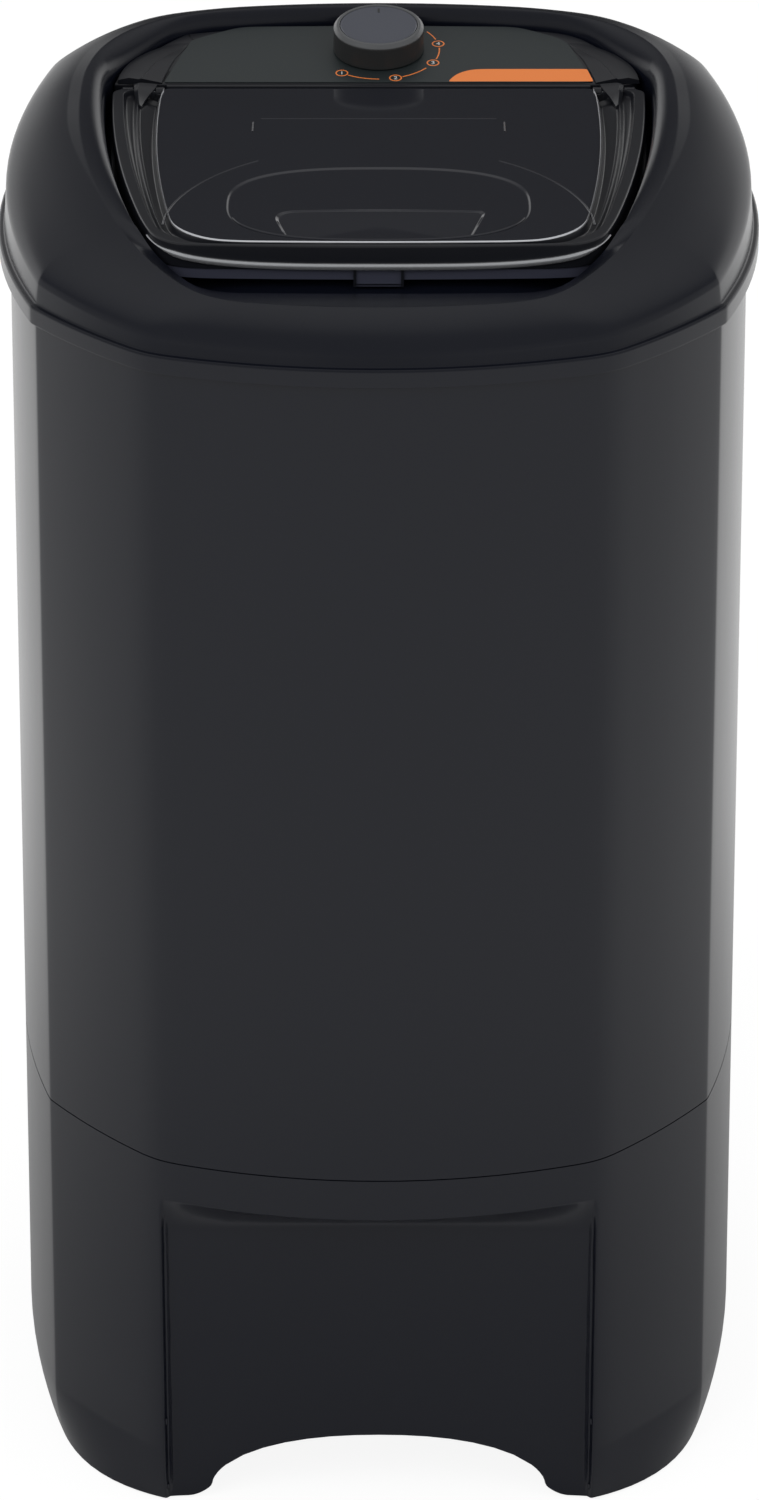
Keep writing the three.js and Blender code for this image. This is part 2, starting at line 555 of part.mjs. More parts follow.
const fin = {
  height: 4.2, edge: 1.4, gap: 0.8, rear: 51,
  outer: [[156.5, 1], [150.5, 15], [136, 36.5], [119, 50.5]],
  crest: [[140, 5], [146, 8], [142, 16], [131, 34], [120, 47], [118.5, 46]],
};
for (const [side, name] of [[-1, 'left'], [1, 'right']]) {
  const outline = [[overlay.frontHalf + fin.gap, 1], ...fin.outer,
    [overlay.midHalf + fin.gap, fin.rear]].map(([x, v]) => [side * x, v]);
  const crest = fin.crest.map(([x, v]) => [side * x, v]);
  const [foot0, top0] = side < 0 ? [outline.reverse(), crest.reverse()] : [outline, crest];
  add(`hinge_cover_${name}`, onPanel(loft([
    lift(foot0, gap / 2), lift(foot0, fin.edge), lift(top0, fin.height),
  ], false)), lidBlack);
}

const knobFoot = filmTop + knob.stand;
const knobTop = knobFoot + knob.height;
const knobFloor = knobTop - knob.dish;
const knobBoreTop = knobTop - knob.crown;
add('knob', onPanel(turned([
  [0, knobFloor], [knob.inlay + gap, knobFloor], [knob.inlay + gap, knobTop], [knob.radius - 1.6, knobTop],
  [knob.radius - 0.6, knobTop - 1], [knob.radius, knobFoot], [knob.radius - 3, knobFoot],
  [knob.radius - knob.skin, knobBoreTop - 1], [knob.hub, knobBoreTop - 1], [knob.hub, knobFoot + 1],
  [timer.shaft + gap, knobFoot + 1], [timer.shaft + gap, knobBoreTop], [0, knobBoreTop],
], 28).translate(0, knobV, 0)), knobBlack);
const tick = { half: 0.5, from: 7, to: 2, floor: 1.2 };
const [tickLow, tickHigh] = [knob.inlay - tick.from, knob.inlay - tick.to];
add('knob_cap', onPanel(cut(rod(knob.inlay, knobFloor + gap / 2, knobFloor + gap / 2 + knob.cap, 28),
  block(-tick.half, tick.half, tickLow, tickHigh, knobFloor + tick.floor, knobTop + 1))
  .translate(0, knobV, 0)), inlayBlue);
const timerTop = -panel.plate - gap;
add('timer', onPanel(join(rod(timer.radius, timerTop - timer.height, timerTop, 24),
  block(-timer.ear, timer.ear, -timer.earHalf, timer.earHalf, timerTop - timer.earThickness, timerTop))
  .translate(0, knobV, 0)), steel);
const shaftRod = rod(timer.shaft, timerTop + gap, knobBoreTop - gap, 12);
add('timer_shaft', onPanel(shaftRod.translate(0, knobV, 0)), steel);

// ---------------------------------------------------------------- lid
const lidPlan = (p) => eightSided({
  frontHalf: p.frontHalf, frontDepth: p.frontDepth, sideHalf: p.sideHalf, sideFront: p.sideFront,
  rearHalf: p.rearHalf, sideRear: p.rear, backHalf: p.backHalf, backDepth: p.rearEdge,
  frontBow: p.frontBow, facetBow: p.cornerBow, rearFacetBow: 1, sideBow: p.sideBow, backBow: 0,
});
const lidLoop = lidPlan(lid);
const paneLoop = lidPlan(pane);
const frameFoot = (y) => lidTop(y) - lid.frameHeight;
const frameRing = loft([
  lift(lidLoop, frameFoot), lift(lidLoop, (y) => lidTop(y) - lid.chamfer),
  lift(offset(lidLoop, -lid.chamfer), lidTop),
  lift(offset(paneLoop, 0.8), lidTop), lift(paneLoop, (y) => lidTop(y) - 0.8), lift(paneLoop, frameFoot),
], true);
const lidKnuckles = [-1, 1].flatMap((side) => {
  const middle = side * (lidKnuckle.from + lidKnuckle.to) / 2;
  const half = (lidKnuckle.to - lidKnuckle.from) / 2;
  return [crossRod(hinge.knuckle, middle, hinge.y, hinge.z, 2 * half),
    block(middle - half, middle + half, lid.rearEdge - 3, hinge.y, hinge.z - hinge.knuckle, hinge.z + 2)];
});
add('lid_frame', cut(join(frameRing, ...lidKnuckles), pinBore), lidBlack);

const skirtTop = (y) => frameFoot(y) - gap;
const skirtFoot = well.seat + gap;
const paneEdge = offset(paneLoop, -gap);
const skirtLoop = offset(lidLoop, -lid.skirtInset);
const paneInner = offset(paneLoop, -gap - lid.pane);
const fingerRecess = { halfX: 61, halfY: 24, centreY: 31.5 - lidFront, depth: 1.4 };
add('lid_window', cut(loft([
  lift(paneEdge, (y) => lidTop(y) - pane.sunk), lift(paneEdge, skirtTop), lift(skirtLoop, skirtTop),
  lift(skirtLoop, skirtFoot), lift(paneInner, skirtFoot),
  lift(paneInner, (y) => lidTop(y) - pane.sunk - lid.pane),
], false), slab(superLoop(fingerRecess.halfX, fingerRecess.halfY, 3, fingerRecess.centreY),
  lidTop(fingerRecess.centreY) - pane.sunk - fingerRecess.depth, lid.rearTop + 5)), smoked);

// A bright strip round the front of the lid that climbs at its two ends.
const trimRun = [...lidLoop.slice(-steps.facet), ...lidLoop.slice(0, steps.front + steps.facet + 1)];
const trimInner = offset(lidLoop, gap);
const trimOuter = offset(lidLoop, gap + trim.thickness);
const trimRings = trimRun.map((_, k) => {
  const i = (k + lidLoop.length - steps.facet) % lidLoop.length;
  const low = trim.lowest + trim.rise * (Math.abs(lidLoop[i][0]) / trim.halfAngle) ** 4;
  const [inner, outer] = [trimInner[i], trimOuter[i]];
  return [[...inner, low], [...outer, low], [...outer, low + trim.height], [...inner, low + trim.height]];
});
add('lid_trim', loft(trimRings, false), trimSilver);

const latch = { half: 13, thickness: 2, top: 782, foot: 772.4, hook: 2, lip: 1.4 };
const latchFace = -(lid.frontDepth + lid.frontBow - lid.skirtInset) - gap - latch.thickness;
add('lid_latch', join(
  block(-latch.half, latch.half, latchFace, latchFace + latch.thickness, latch.foot, latch.top),
  block(-latch.half, latch.half, latchFace, latchFace + latch.thickness + latch.hook,
    latch.foot, latch.foot + latch.lip)), lidBlack);

// ---------------------------------------------------------------- safety switch
const switchTop = well.seat - wall - gap;
add('interlock_switch', cut(block(plunger.x - 12, plunger.x + 12, plunger.y - 9, plunger.y + 9,
  switchTop - 12, switchTop), rod(plunger.radius + gap, switchTop - plunger.depth - 0.5, switchTop + 5, 12)
  .translate(plunger.x, plunger.y, 0)), white);
add('interlock_plunger', rod(plunger.radius, switchTop - plunger.depth, well.seat, 12)
  .translate(plunger.x, plunger.y, 0), white);

// ---------------------------------------------------------------- tub and basket
const tubFlange = cabinetTop + gap;
const tubRim = tub.radius + tub.flangeWidth;
const tubShell = turned([
  [tub.hub, tub.bottom], [tub.radius - tub.corner, tub.bottom], [tub.radius, tub.bottom + tub.corner],
  [tub.radius, tubFlange],
  [tubRim, tubFlange], [tubRim, tubFlange + wall], [tub.radius - tub.wall, tubFlange + wall],
  [tub.radius - tub.wall, tub.bottom + tub.corner + 1], [tub.radius - tub.corner - 1, tub.bottom + tub.wall],
  [tub.hub + tub.wall, tub.bottom + tub.wall], [tub.hub + tub.wall, tub.bottom + tub.hubRise],
  [tub.hub, tub.bottom + tub.hubRise], [tub.hub, tub.bottom],
], 32);
add('tub', cut(tubShell, rod(drain.tubHole, tub.bottom - 3, tub.bottom + 8)
  .translate(drain.x, drain.y, 0)), tubGrey);

const sealBore = shaft.radius + gap;
add('tub_seal', turned([
  [tub.hub - gap, tub.bottom + 1], [tub.hub - gap, tub.bottom + 7], [28, tub.bottom + 11],
  [22, tub.bottom + 6], [16, tub.bottom + 12], [sealBore, tub.bottom + 12], [sealBore, tub.bottom + 8],
  [15, tub.bottom + 8], [21, tub.bottom + 2], [28, tub.bottom + 6], [31, tub.bottom + 1],
  [tub.hub - gap, tub.bottom + 1],
], 16), rubber);

const drainRoute = [
  [drain.x, drain.y, tub.bottom - gap], [drain.x, drain.y, drain.z + 42],
  [drain.x, drain.y + 9, drain.z + 15],
  [drain.x, drain.y + 34, drain.z], [drain.x, rearWallAt(0, drain.z) - 1, drain.z],
];
const drainBore = [[drain.x, drain.y, tub.bottom + 4], ...drainRoute.slice(1, -1),
  [drain.x, rearWallAt(0, drain.z) + 6, drain.z]];
add('drain_elbow', cut(run(drainRoute, drain.radius), run(drainBore, drain.bore)), tubGrey);

const hubFace = basket.bottom + basket.hubRise;
const neck = basket.radius - basket.shoulder / 2;
const rimFoot = basket.top - basket.rim;
const basketShell = turned([
  [shaft.bore, hubFace], [40, hubFace], [58, basket.bottom], [basket.foot - 12, basket.bottom],
  [basket.foot, basket.bottom + 12], [basket.radius, basket.top - basket.shoulder],
  [neck, rimFoot - gap], [neck - 1, rimFoot - gap],
  [basket.radius - basket.wall, basket.top - basket.shoulder - 1],
  [basket.foot - basket.wall, basket.bottom + 13],
  [basket.foot - 13, basket.bottom + basket.wall], [59, basket.bottom + basket.wall],
  [41, hubFace + basket.wall], [shaft.bore, hubFace + basket.wall], [shaft.bore, hubFace],
], 32);
const drainHoles = Array.from({ length: basket.holeRows * basket.holesPerRow }, (_, k) => {
  const row = Math.floor(k / basket.holesPerRow);
  const turn = (k % basket.holesPerRow + (row % 2) / 2) * 2 * Math.PI / basket.holesPerRow;
  return rod(basket.hole, basket.foot - 20, basket.radius + 10, 6).rotateY(Math.PI / 2)
    .translate(0, 0, basket.firstRow + row * basket.rowPitch).rotateZ(turn);
});
add('basket', cut(basketShell, ...drainHoles), basketSteel);
add('basket_rim', turned([
  [basket.mouth, rimFoot], [neck, rimFoot], [neck, basket.top], [basket.mouth, basket.top],
  [basket.mouth, rimFoot],
], 32), basketSteel);
const ring = { width: 30, height: 14 };
add('basket_ring', turned([
  [basket.mouth + 1, basket.top + gap], [basket.mouth + ring.width, basket.top + gap],
  [basket.mouth + ring.width, basket.top + ring.height - 3],
  [basket.mouth + ring.width - 3, basket.top + ring.height], [basket.mouth + 5, basket.top + ring.height],
  [basket.mouth + 1, basket.top + ring.height - 4], [basket.mouth + 1, basket.top + gap],
], 32), tubGrey);
const nutFoot = hubFace + basket.wall + gap;
add('basket_nut', turned([
  [0, nutFoot + 32], [12, nutFoot + 30], [basket.hub - 2, nutFoot + 8], [basket.hub, nutFoot],
  [shaft.bore, nutFoot], [shaft.bore, shaft.top + gap], [0, shaft.top + gap],
]), tubGrey);

// ---------------------------------------------------------------- drive
add('drive_shaft', turned([
  [0, shaft.low], [shaft.radius, shaft.low], [shaft.radius, basket.bottom - shaft.flangeDrop],
  [shaft.flange, basket.bottom - shaft.flangeDrop], [shaft.flange, hubFace - gap],
  [shaft.radius, hubFace - gap],
  [shaft.radius, shaft.top], [0, shaft.top],
], 16), steel);
const runBore = shaft.radius + gap;
const pocket = motor.bearing + gap;
const pocketOuter = motor.bearing + motor.pocketWall;
const shellInner = motor.radius - motor.wall;
const flangeTop = plate.z - gap;
const flangeFoot = flangeTop - motor.flangeThickness;
const floorTop = motor.low + motor.wall;
add('motor_lower_shell', turned([
  [runBore, motor.low], [motor.radius - motor.corner, motor.low], [motor.radius, motor.low + motor.corner],
  [motor.radius, motor.split - gap / 2], [shellInner, motor.split - gap / 2],
  [shellInner, motor.low + motor.corner + 1], [motor.radius - motor.corner - 1, floorTop],
  [pocketOuter, floorTop],
  [pocketOuter, floorTop + motor.pocketDepth], [pocket, floorTop + motor.pocketDepth], [pocket, floorTop],
  [runBore, floorTop], [runBore, motor.low],
]), motorGrey);
add('motor_upper_shell', turned([
  [runBore, flangeTop], [motor.flange, flangeTop], [motor.flange, flangeFoot], [motor.radius, flangeFoot],
  [motor.radius, motor.split + gap / 2], [shellInner, motor.split + gap / 2], [shellInner, flangeFoot],
  [pocketOuter, flangeFoot], [pocketOuter, flangeFoot - motor.pocketDepth],
  [pocket, flangeFoot - motor.pocketDepth], [pocket, flangeFoot], [runBore, flangeFoot], [runBore, flangeTop],
]), motorGrey);
const bearing = (low) => tube(motor.bearing, runBore, low, low + motor.bearingHeight);
add('lower_bearing', bearing(floorTop + gap), steel);
add('upper_bearing', bearing(flangeFoot - gap - motor.bearingHeight), steel);
const [windingLow, windingHigh] = [motor.low + motor.windingInset, flangeTop - motor.windingInset];
add('stator', tube(shellInner - gap, motor.stator, windingLow, windingHigh), copper);
add('rotor', tube(motor.rotor, runBore, windingLow + 2, windingHigh - 2), steel);

const fan = { radius: 56, blades: 6, low: 31, height: 11, disc: 2, hub: 16, blade: 2 };
const fanTop = fan.low + fan.height;
const fanDisc = tube(fan.radius, runBore, fanTop - fan.disc, fanTop);
const fanBlades = Array.from({ length: fan.blades }, (_, i) =>
  block(fan.hub - fan.blade, fan.radius - 1, -fan.blade / 2, fan.blade / 2, fan.low, fanTop - 1)
    .rotateZ(i * 2 * Math.PI / fan.blades));
add('cooling_fan', join(fanDisc, tube(fan.hub, runBore, fan.low, fanTop), ...fanBlades), tubGrey);

add('brake_drum', turned([
  [runBore, drum.z], [drum.radius, drum.z], [drum.radius, drum.z + drum.height],
  [drum.radius - drum.wall, drum.z + drum.height], [drum.radius - drum.wall, drum.z + drum.wall],
  [runBore, drum.z + drum.wall], [runBore, drum.z],
]), steel);

// ---------------------------------------------------------------- motor plate on its rubber mounts
const plateTop = plate.z + plate.thickness;
const boltHole = mount.bolt + gap;
const cableX = brake.pivotX - brake.reach;
const cableStop = { y: brake.y + 30, thickness: 3, height: 26, half: 7 };
const cableZ = plateTop + 18;
add('motor_plate', cut(
  join(tube(plate.radius, plate.hole, plate.z, plateTop, 32),
    block(cableX - cableStop.half, cableX + cableStop.half, cableStop.y, cableStop.y + cableStop.thickness,
      plateTop - 1, plateTop + cableStop.height)),
  ...mountPlaces.map(([x, y]) => rod(boltHole, plate.z - 5, plateTop + 5, 12).translate(x, y, 0)),
  alongY(cable.radius + 3 * gap, cableX, cableZ, cableStop.y - 5, cableStop.y + 8)), steel);
mountPlaces.forEach(([x, y], i) => {
  const [low, high] = [deck.postTop + gap, plate.z - gap];
  add(`rubber_mount_${i + 1}`, turned([
    [boltHole, low], [mount.radius, low], [mount.radius, low + 5], [mount.waist, low + 11],
    [mount.waist, high - 11], [mount.radius, high - 5], [mount.radius, high], [boltHole, high],
    [boltHole, low],
  ], 12).translate(x, y, 0), rubber);
  add(`mount_bolt_${i + 1}`, join(rod(mount.bolt, deck.postTop - mount.boltDepth, plateTop + 1, 12),
    rod(mount.head, plateTop + gap, plateTop + mount.headHeight, 6)).translate(x, y, 0), steel);
});

// ---------------------------------------------------------------- brake
const armLow = drum.z + (drum.height - brake.barHeight) / 2;
const armHigh = armLow + brake.barHeight;
const shoeFace = drum.radius + brake.clear;
const [barFront, barRear] = [brake.y - brake.barWidth / 2, brake.y + brake.barWidth / 2];
add('brake_arm', cut(join(
  block(cableX - 3, brake.pivotX + 9, barFront, barRear, armLow, armHigh),
  block(-brake.shoe / 2, brake.shoe / 2, shoeFace, brake.y, armLow - brake.shoeLap, armHigh + brake.shoeLap),
  alongY(brake.tip, cableX, cableZ, brake.y, cableStop.y - 5)),
rod(brake.pin + gap, armLow - 5, armHigh + 5, 16).translate(brake.pivotX, brake.y, 0)), steel);
add('brake_pivot', turned([
  [0, plateTop + gap], [brake.collar, plateTop + gap], [brake.collar, armLow - gap],
  [brake.pin, armLow - gap], [brake.pin, armHigh + 4], [0, armHigh + 4],
], 16).translate(brake.pivotX, brake.y, 0), steel);
add('brake_cable', run([
  [cableX, cableStop.y - 2, cableZ], [cableX, cableStop.y + 14, cableZ],
  [cableX - 12, cableStop.y + 32, cableZ + 8],
  [-duct.x + 18, duct.y - 12, cableZ + 45], [-duct.x, duct.y, cableZ + 90], [-duct.x, duct.y, 420],
  [-duct.x, duct.y, 620], [-duct.x, duct.y, cabinetTop - 20], [-duct.x, duct.y, cabinetTop + 2],
  [(cableEntry.x - duct.x) / 2, duct.y - 1, well.seat - 8.5],
  [cableEntry.x - 1, cableEntry.y, well.seat - 5],
  [cableEntry.x, cableEntry.y, well.seat + 8],
], cable.radius), rubber);

// ---------------------------------------------------------------- electrics
const deckSeat = deckTop + gap;
const capacitor = { x: -118, y: 62, radius: 18, height: 52 };
add('capacitor', rod(capacitor.radius, deckSeat, deckSeat + capacitor.height, 20)
  .translate(capacitor.x, capacitor.y, 0), white);
add('capacitor_clip', join(
  tube(capacitor.radius + 2.5, capacitor.radius + gap, deckSeat + 16, deckSeat + 28)
    .translate(capacitor.x, capacitor.y, 0),
  block(capacitor.x - 5, capacitor.x + 5, capacitor.y + capacitor.radius + 0.8,
    capacitor.y + capacitor.radius + 3, deckSeat, deckSeat + 28),
  block(capacitor.x - 5, capacitor.x + 5, capacitor.y + capacitor.radius + 0.8,
    capacitor.y + capacitor.radius + 12, deckSeat, deckSeat + 2)), steel);
const terminals = { x: 118, y: 62, halfX: 14, halfY: 16, height: 18 };
add('terminal_block', block(
  terminals.x - terminals.halfX, terminals.x + terminals.halfX,
  terminals.y - terminals.halfY, terminals.y + terminals.halfY,
  deckSeat, deckSeat + terminals.height,
), white);
const glandFace = rearWallAt(Math.abs(gland.x) - gland.flange, gland.z);
add('cord_gland', cut(join(alongY(gland.radius, gland.x, gland.z, glandFace - 14, glandFace + 1),
  alongY(gland.flange, gland.x, gland.z, glandFace + gap, glandFace + gap + gland.thickness)),
alongY(gland.bore, gland.x, gland.z, glandFace - 20, glandFace + 10)), rubber);
const loomLevel = (tubFlange + wall + well.seat - wall) / 2;
const loomEnd = deckSeat + terminals.height / 2;
add('wiring_loom', run([
  [loomEntry.x, loomEntry.y, panelZ(loomEntry.y) - panel.plate - timer.height - 4],
  [0, loomEntry.y, well.seat + 1],
  [3, loomEntry.y, loomLevel + 2.5], [14, loomEntry.y + 2, loomLevel], [60, loomEntry.y + 7, loomLevel],
  [108, loomEntry.y + 1, loomLevel], [duct.x - 10, duct.y + 10, loomLevel - 1], [duct.x, duct.y, cabinetTop],
  [duct.x, duct.y, cabinetTop - 20], [duct.x, duct.y, 620], [duct.x, duct.y, 420], [duct.x, duct.y, 240],
  [duct.x - 12, duct.y - 16, 150], [terminals.x + 4, terminals.y + 50, loomEnd + 12],
  [terminals.x, terminals.y + 30, loomEnd], [terminals.x, terminals.y + terminals.halfY + 2 * gap, loomEnd],
], loom.radius), rubber);

export default machine;
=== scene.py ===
# A household spin dryer: a black bowed cabinet on an arched base, a domed cover with a smoked
# lid and a sloping timer panel, and inside it a tub, a perforated basket and a brake motor.
# Sizes are millimetres, +Z up, front towards -Y, floor at z = 0; a mesh is made in metres.
import math

import bmesh
import bpy
import numpy as np
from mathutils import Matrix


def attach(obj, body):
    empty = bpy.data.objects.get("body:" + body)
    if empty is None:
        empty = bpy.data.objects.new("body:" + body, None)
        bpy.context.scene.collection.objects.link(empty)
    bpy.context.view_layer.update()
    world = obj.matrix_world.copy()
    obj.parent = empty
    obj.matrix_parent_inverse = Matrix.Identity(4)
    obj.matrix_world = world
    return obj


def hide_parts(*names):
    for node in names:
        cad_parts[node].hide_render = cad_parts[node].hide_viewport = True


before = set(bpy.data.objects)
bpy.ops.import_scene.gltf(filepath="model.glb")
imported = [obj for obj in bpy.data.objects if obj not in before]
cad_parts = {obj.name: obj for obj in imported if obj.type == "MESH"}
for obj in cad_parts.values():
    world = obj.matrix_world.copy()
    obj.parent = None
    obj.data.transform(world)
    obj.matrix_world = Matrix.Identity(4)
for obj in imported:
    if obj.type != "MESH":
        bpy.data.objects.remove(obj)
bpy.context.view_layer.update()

# ------------------------ camera, floor and light
# The machine stands on a white studio floor. Soft light comes from all round; what the glossy
# shell mirrors is the floor, two white panels at its rear sides, and a dark wall between them.
scene = bpy.context.scene
scene.view_settings.view_transform = "Standard"
camera_data = bpy.data.cameras.new("camera")
camera_data.sensor_fit, camera_data.sensor_height, camera_data.lens = "VERTICAL", 36, 127.4
camera = bpy.data.objects.new("camera", camera_data)
camera.location = (0.0005, -2.907, 1.9027)
camera.rotation_euler = (math.radians(90 - 27.13), 0, 0)
scene.collection.objects.link(camera)
scene.camera = camera


def new_tree(owner):
    owner.use_nodes = True
    owner.node_tree.nodes.clear()
    return owner.node_tree


def new_node(tree, kind, **settings):
    node = tree.nodes.new("ShaderNode" + kind)
    for name, value in settings.items():
        setattr(node, name, value)
    return node


def join_nodes(tree, *links):
    for source, target in links:
        tree.links.new(source, target)


def arithmetic(operation, a, b=None):
    """One Math node on sockets or numbers, in the socket's own tree. Returns its output."""
    tree = (a if isinstance(a, bpy.types.NodeSocket) else b).id_data
    node = new_node(tree, "Math", operation=operation)
    for socket, value in zip(node.inputs, (a, b)):
        if isinstance(value, bpy.types.NodeSocket):
            tree.links.new(value, socket)
        elif value is not None:
            socket.default_value = value
    return node.outputs[0]


def plus(a, b):
    return arithmetic("ADD", a, b)


def minus(a, b):
    return arithmetic("SUBTRACT", a, b)


def times(a, b):
    return arithmetic("MULTIPLY", a, b)


def between(value, low, high, out_low=0.0, out_high=1.0):
    """A smooth step of a value from one range to another. Returns its output."""
    node = new_node(value.id_data, "MapRange", interpolation_type="SMOOTHSTEP")
    value.id_data.links.new(value, node.inputs["Value"])
    for label, number in zip(("From Min", "From Max", "To Min", "To Max"), (low, high, out_low, out_high)):
        node.inputs[label].default_value = number
    return node.outputs[0]


sky = bpy.data.worlds.new("studio")
scene.world = sky
tree = new_tree(sky)
rays = new_node(tree, "LightPath").outputs
split = new_node(tree, "SeparateXYZ")
tree.links.new(new_node(tree, "TexCoord").outputs["Generated"], split.inputs[0])
across, back, up = split.outputs
in_front = 0.62                      # the room in front and overhead
rear_wall = between(up, 0.36, 0.9, 0.07, 0.95)
room = plus(in_front, times(between(back, -0.1, 0.35), minus(rear_wall, in_front)))
panel_light = 1.45                   # two white panels at both sides of the rear wall
panels = times(times(between(arithmetic("ABSOLUTE", across), 0.1, 0.26), between(up, 0.36, 0.5, 1.0, 0.0)),
               between(back, 0.0, 0.5, 0.1, 1.0))
mirrored = plus(room, times(panels, panel_light))
soft_light, seen_light = 0.8, 1.25   # for the matt surfaces, and what the camera itself sees
seen = arithmetic("MAXIMUM", rays["Is Camera Ray"], rays["Is Transmission Ray"])
level = plus(times(mirrored, rays["Is Glossy Ray"]), times(minus(1.0, rays["Is Glossy Ray"]), soft_light))
level = plus(times(level, minus(1.0, seen)), times(seen, seen_light))
background = new_node(tree, "Background")
join_nodes(tree, (level, background.inputs["Strength"]),
           (background.outputs[0], new_node(tree, "OutputWorld").inputs["Surface"]))

floor_half, floor_level = 5.0, -0.0004
floor_mesh = bpy.data.meshes.new("floor")
floor_mesh.from_pydata([(x * floor_half, y * floor_half, floor_level)
                        for x, y in ((-1, -1), (1, -1), (1, 1), (-1, 1))], [], [(0, 1, 2, 3)])
floor = bpy.data.objects.new("floor", floor_mesh)
scene.collection.objects.link(floor)
floor_white = bpy.data.materials.new("floor_white")
tree = new_tree(floor_white)
rays = new_node(tree, "LightPath").outputs
paint = new_node(tree, "BsdfDiffuse")
paint.inputs["Color"].default_value = (0.86, 0.86, 0.86, 1)
glow = new_node(tree, "Emission")
glow.inputs["Strength"].default_value = 1.1
mix = new_node(tree, "MixShader")
away = new_node(tree, "VectorMath", operation="LENGTH")
shown = times(rays["Is Camera Ray"], 0.82)           # the rest is paint, which keeps the shadow
# Reflections of the floor lose its glow near the machine: a painted shadow round its foot.
reflected_glow_painted_shade = times(rays["Is Glossy Ray"], between(away.outputs["Value"], 0.35, 1.05))
join_nodes(tree, (new_node(tree, "TexCoord").outputs["Object"], away.inputs[0]),
           (plus(shown, reflected_glow_painted_shade), mix.inputs[0]), (paint.outputs[0], mix.inputs[1]),
           (glow.outputs[0], mix.inputs[2]),
           (mix.outputs[0], new_node(tree, "OutputMaterial").inputs["Surface"]))
floor_mesh.materials.append(floor_white)

for lamp_name, place, size, watts in (("key", (-1.9, -2.1, 2.9), 2.2, 34),
                                      ("fill", (2.3, -1.2, 2.0), 2.0, 12)):
    lamp_data = bpy.data.lights.new(lamp_name, "AREA")
    lamp_data.size, lamp_data.energy = size, watts
    lamp = bpy.data.objects.new(lamp_name, lamp_data)
    lamp.location = place
    aim = np.array((0, 0, 0.5)) - np.array(place)
    lamp.rotation_euler = (math.acos(aim[2] / np.linalg.norm(aim)) - math.pi, 0,
                           math.atan2(aim[1], aim[0]) + math.pi / 2)
    lamp.visible_glossy = False
    scene.collection.objects.link(lamp)

# ------------------------ moulded black plastic
# The shell is injection-moulded ABS: almost black, with a polished face that shows only a
# breath of orange peel and of unevenness in its shine.
grain = bpy.data.node_groups.new("moulded_grain", "ShaderNodeTree")
for way, labels in (("INPUT", "Vector Colour Roughness Scale Variation"),
                    ("OUTPUT", "Colour Roughness Height")):
    for label in labels.split():
        kind = {"Vector": "Vector", "Colour": "Color"}.get(label, "Float")
        grain.interface.new_socket(label, in_out=way, socket_type="NodeSocket" + kind)
inside = grain.nodes.new("NodeGroupInput").outputs
outside = grain.nodes.new("NodeGroupOutput").inputs
fine, broad = new_node(grain, "TexNoise"), new_node(grain, "TexNoise")
fine.inputs["Detail"].default_value = 3
broad.inputs["Scale"].default_value = 9
broad.inputs["Detail"].default_value = 4
shade = plus(times(minus(broad.outputs[0], 0.5), inside["Variation"]), 1.0)
tinted = new_node(grain, "VectorMath", operation="SCALE")
join_nodes(grain, (inside["Vector"], fine.inputs["Vector"]), (inside["Vector"], broad.inputs["Vector"]),
           (inside["Scale"], fine.inputs["Scale"]), (inside["Colour"], tinted.inputs[0]),
           (shade, tinted.inputs["Scale"]), (tinted.outputs[0], outside["Colour"]),
           (times(inside["Roughness"], shade), outside["Roughness"]), (fine.outputs[0], outside["Height"]))

for plain in bpy.data.materials:      # the frame's own plain materials give up their names
    plain.name = "frame_" + plain.name
stood_for = set()                    # the CAD nodes that a piece below replaces


def finish(name, colour, roughness, metallic=0.0, ior=1.45, scale=600.0, variation=0.12, bump=0.02,
           stretch=(1, 1, 1)):
    """A material whose colour, shine and relief come from the grain group with its own values."""
    material = bpy.data.materials.new(name)
    tree = new_tree(material)
    mapping = new_node(tree, "Mapping")
    surface = new_node(tree, "Group", node_tree=grain)
    relief = new_node(tree, "Bump")
    shader = new_node(tree, "BsdfPrincipled")
    for node, label, value in (
            (mapping, "Scale", stretch), (surface, "Colour", (*colour, 1)), (surface, "Roughness", roughness),
            (surface, "Scale", scale), (surface, "Variation", variation), (relief, "Strength", bump),
            (relief, "Distance", 0.0004), (shader, "Metallic", metallic), (shader, "IOR", ior)):
        node.inputs[label].default_value = value
    join_nodes(tree, (new_node(tree, "TexCoord").outputs["Object"], mapping.inputs[0]),
               (mapping.outputs[0], surface.inputs["Vector"]),
               (surface.outputs["Colour"], shader.inputs["Base Color"]),
               (surface.outputs["Roughness"], shader.inputs["Roughness"]),
               (surface.outputs["Height"], relief.inputs["Height"]),
               (relief.outputs[0], shader.inputs["Normal"]),
               (shader.outputs[0], new_node(tree, "OutputMaterial").inputs["Surface"]))
    return material


shell_black = finish("shell_black", (0.0042, 0.0052, 0.0098), 0.24, ior=1.34, scale=420, variation=0.1,
                     bump=0.015)

# ------------------------ cabinet
# The cabinet is one tall moulding with eight bowed sides that spread a little downwards. Its
# walls are 3 mm, and a flat flange with a round opening carries the tub at the top.
MM, wall, gap, seam_z, lip_z = 0.001, 3.0, 0.3, 245.8, 752.7
cabinet_top = lip_z + 7.3
flare = 0.0305 / 507                 # growth of the plan for each millimetre downwards
stretch_steps = (28, 14) * 4          # points on each straight and each corner face


def unit(vectors):
    return vectors / np.linalg.norm(vectors, axis=-1, keepdims=True)


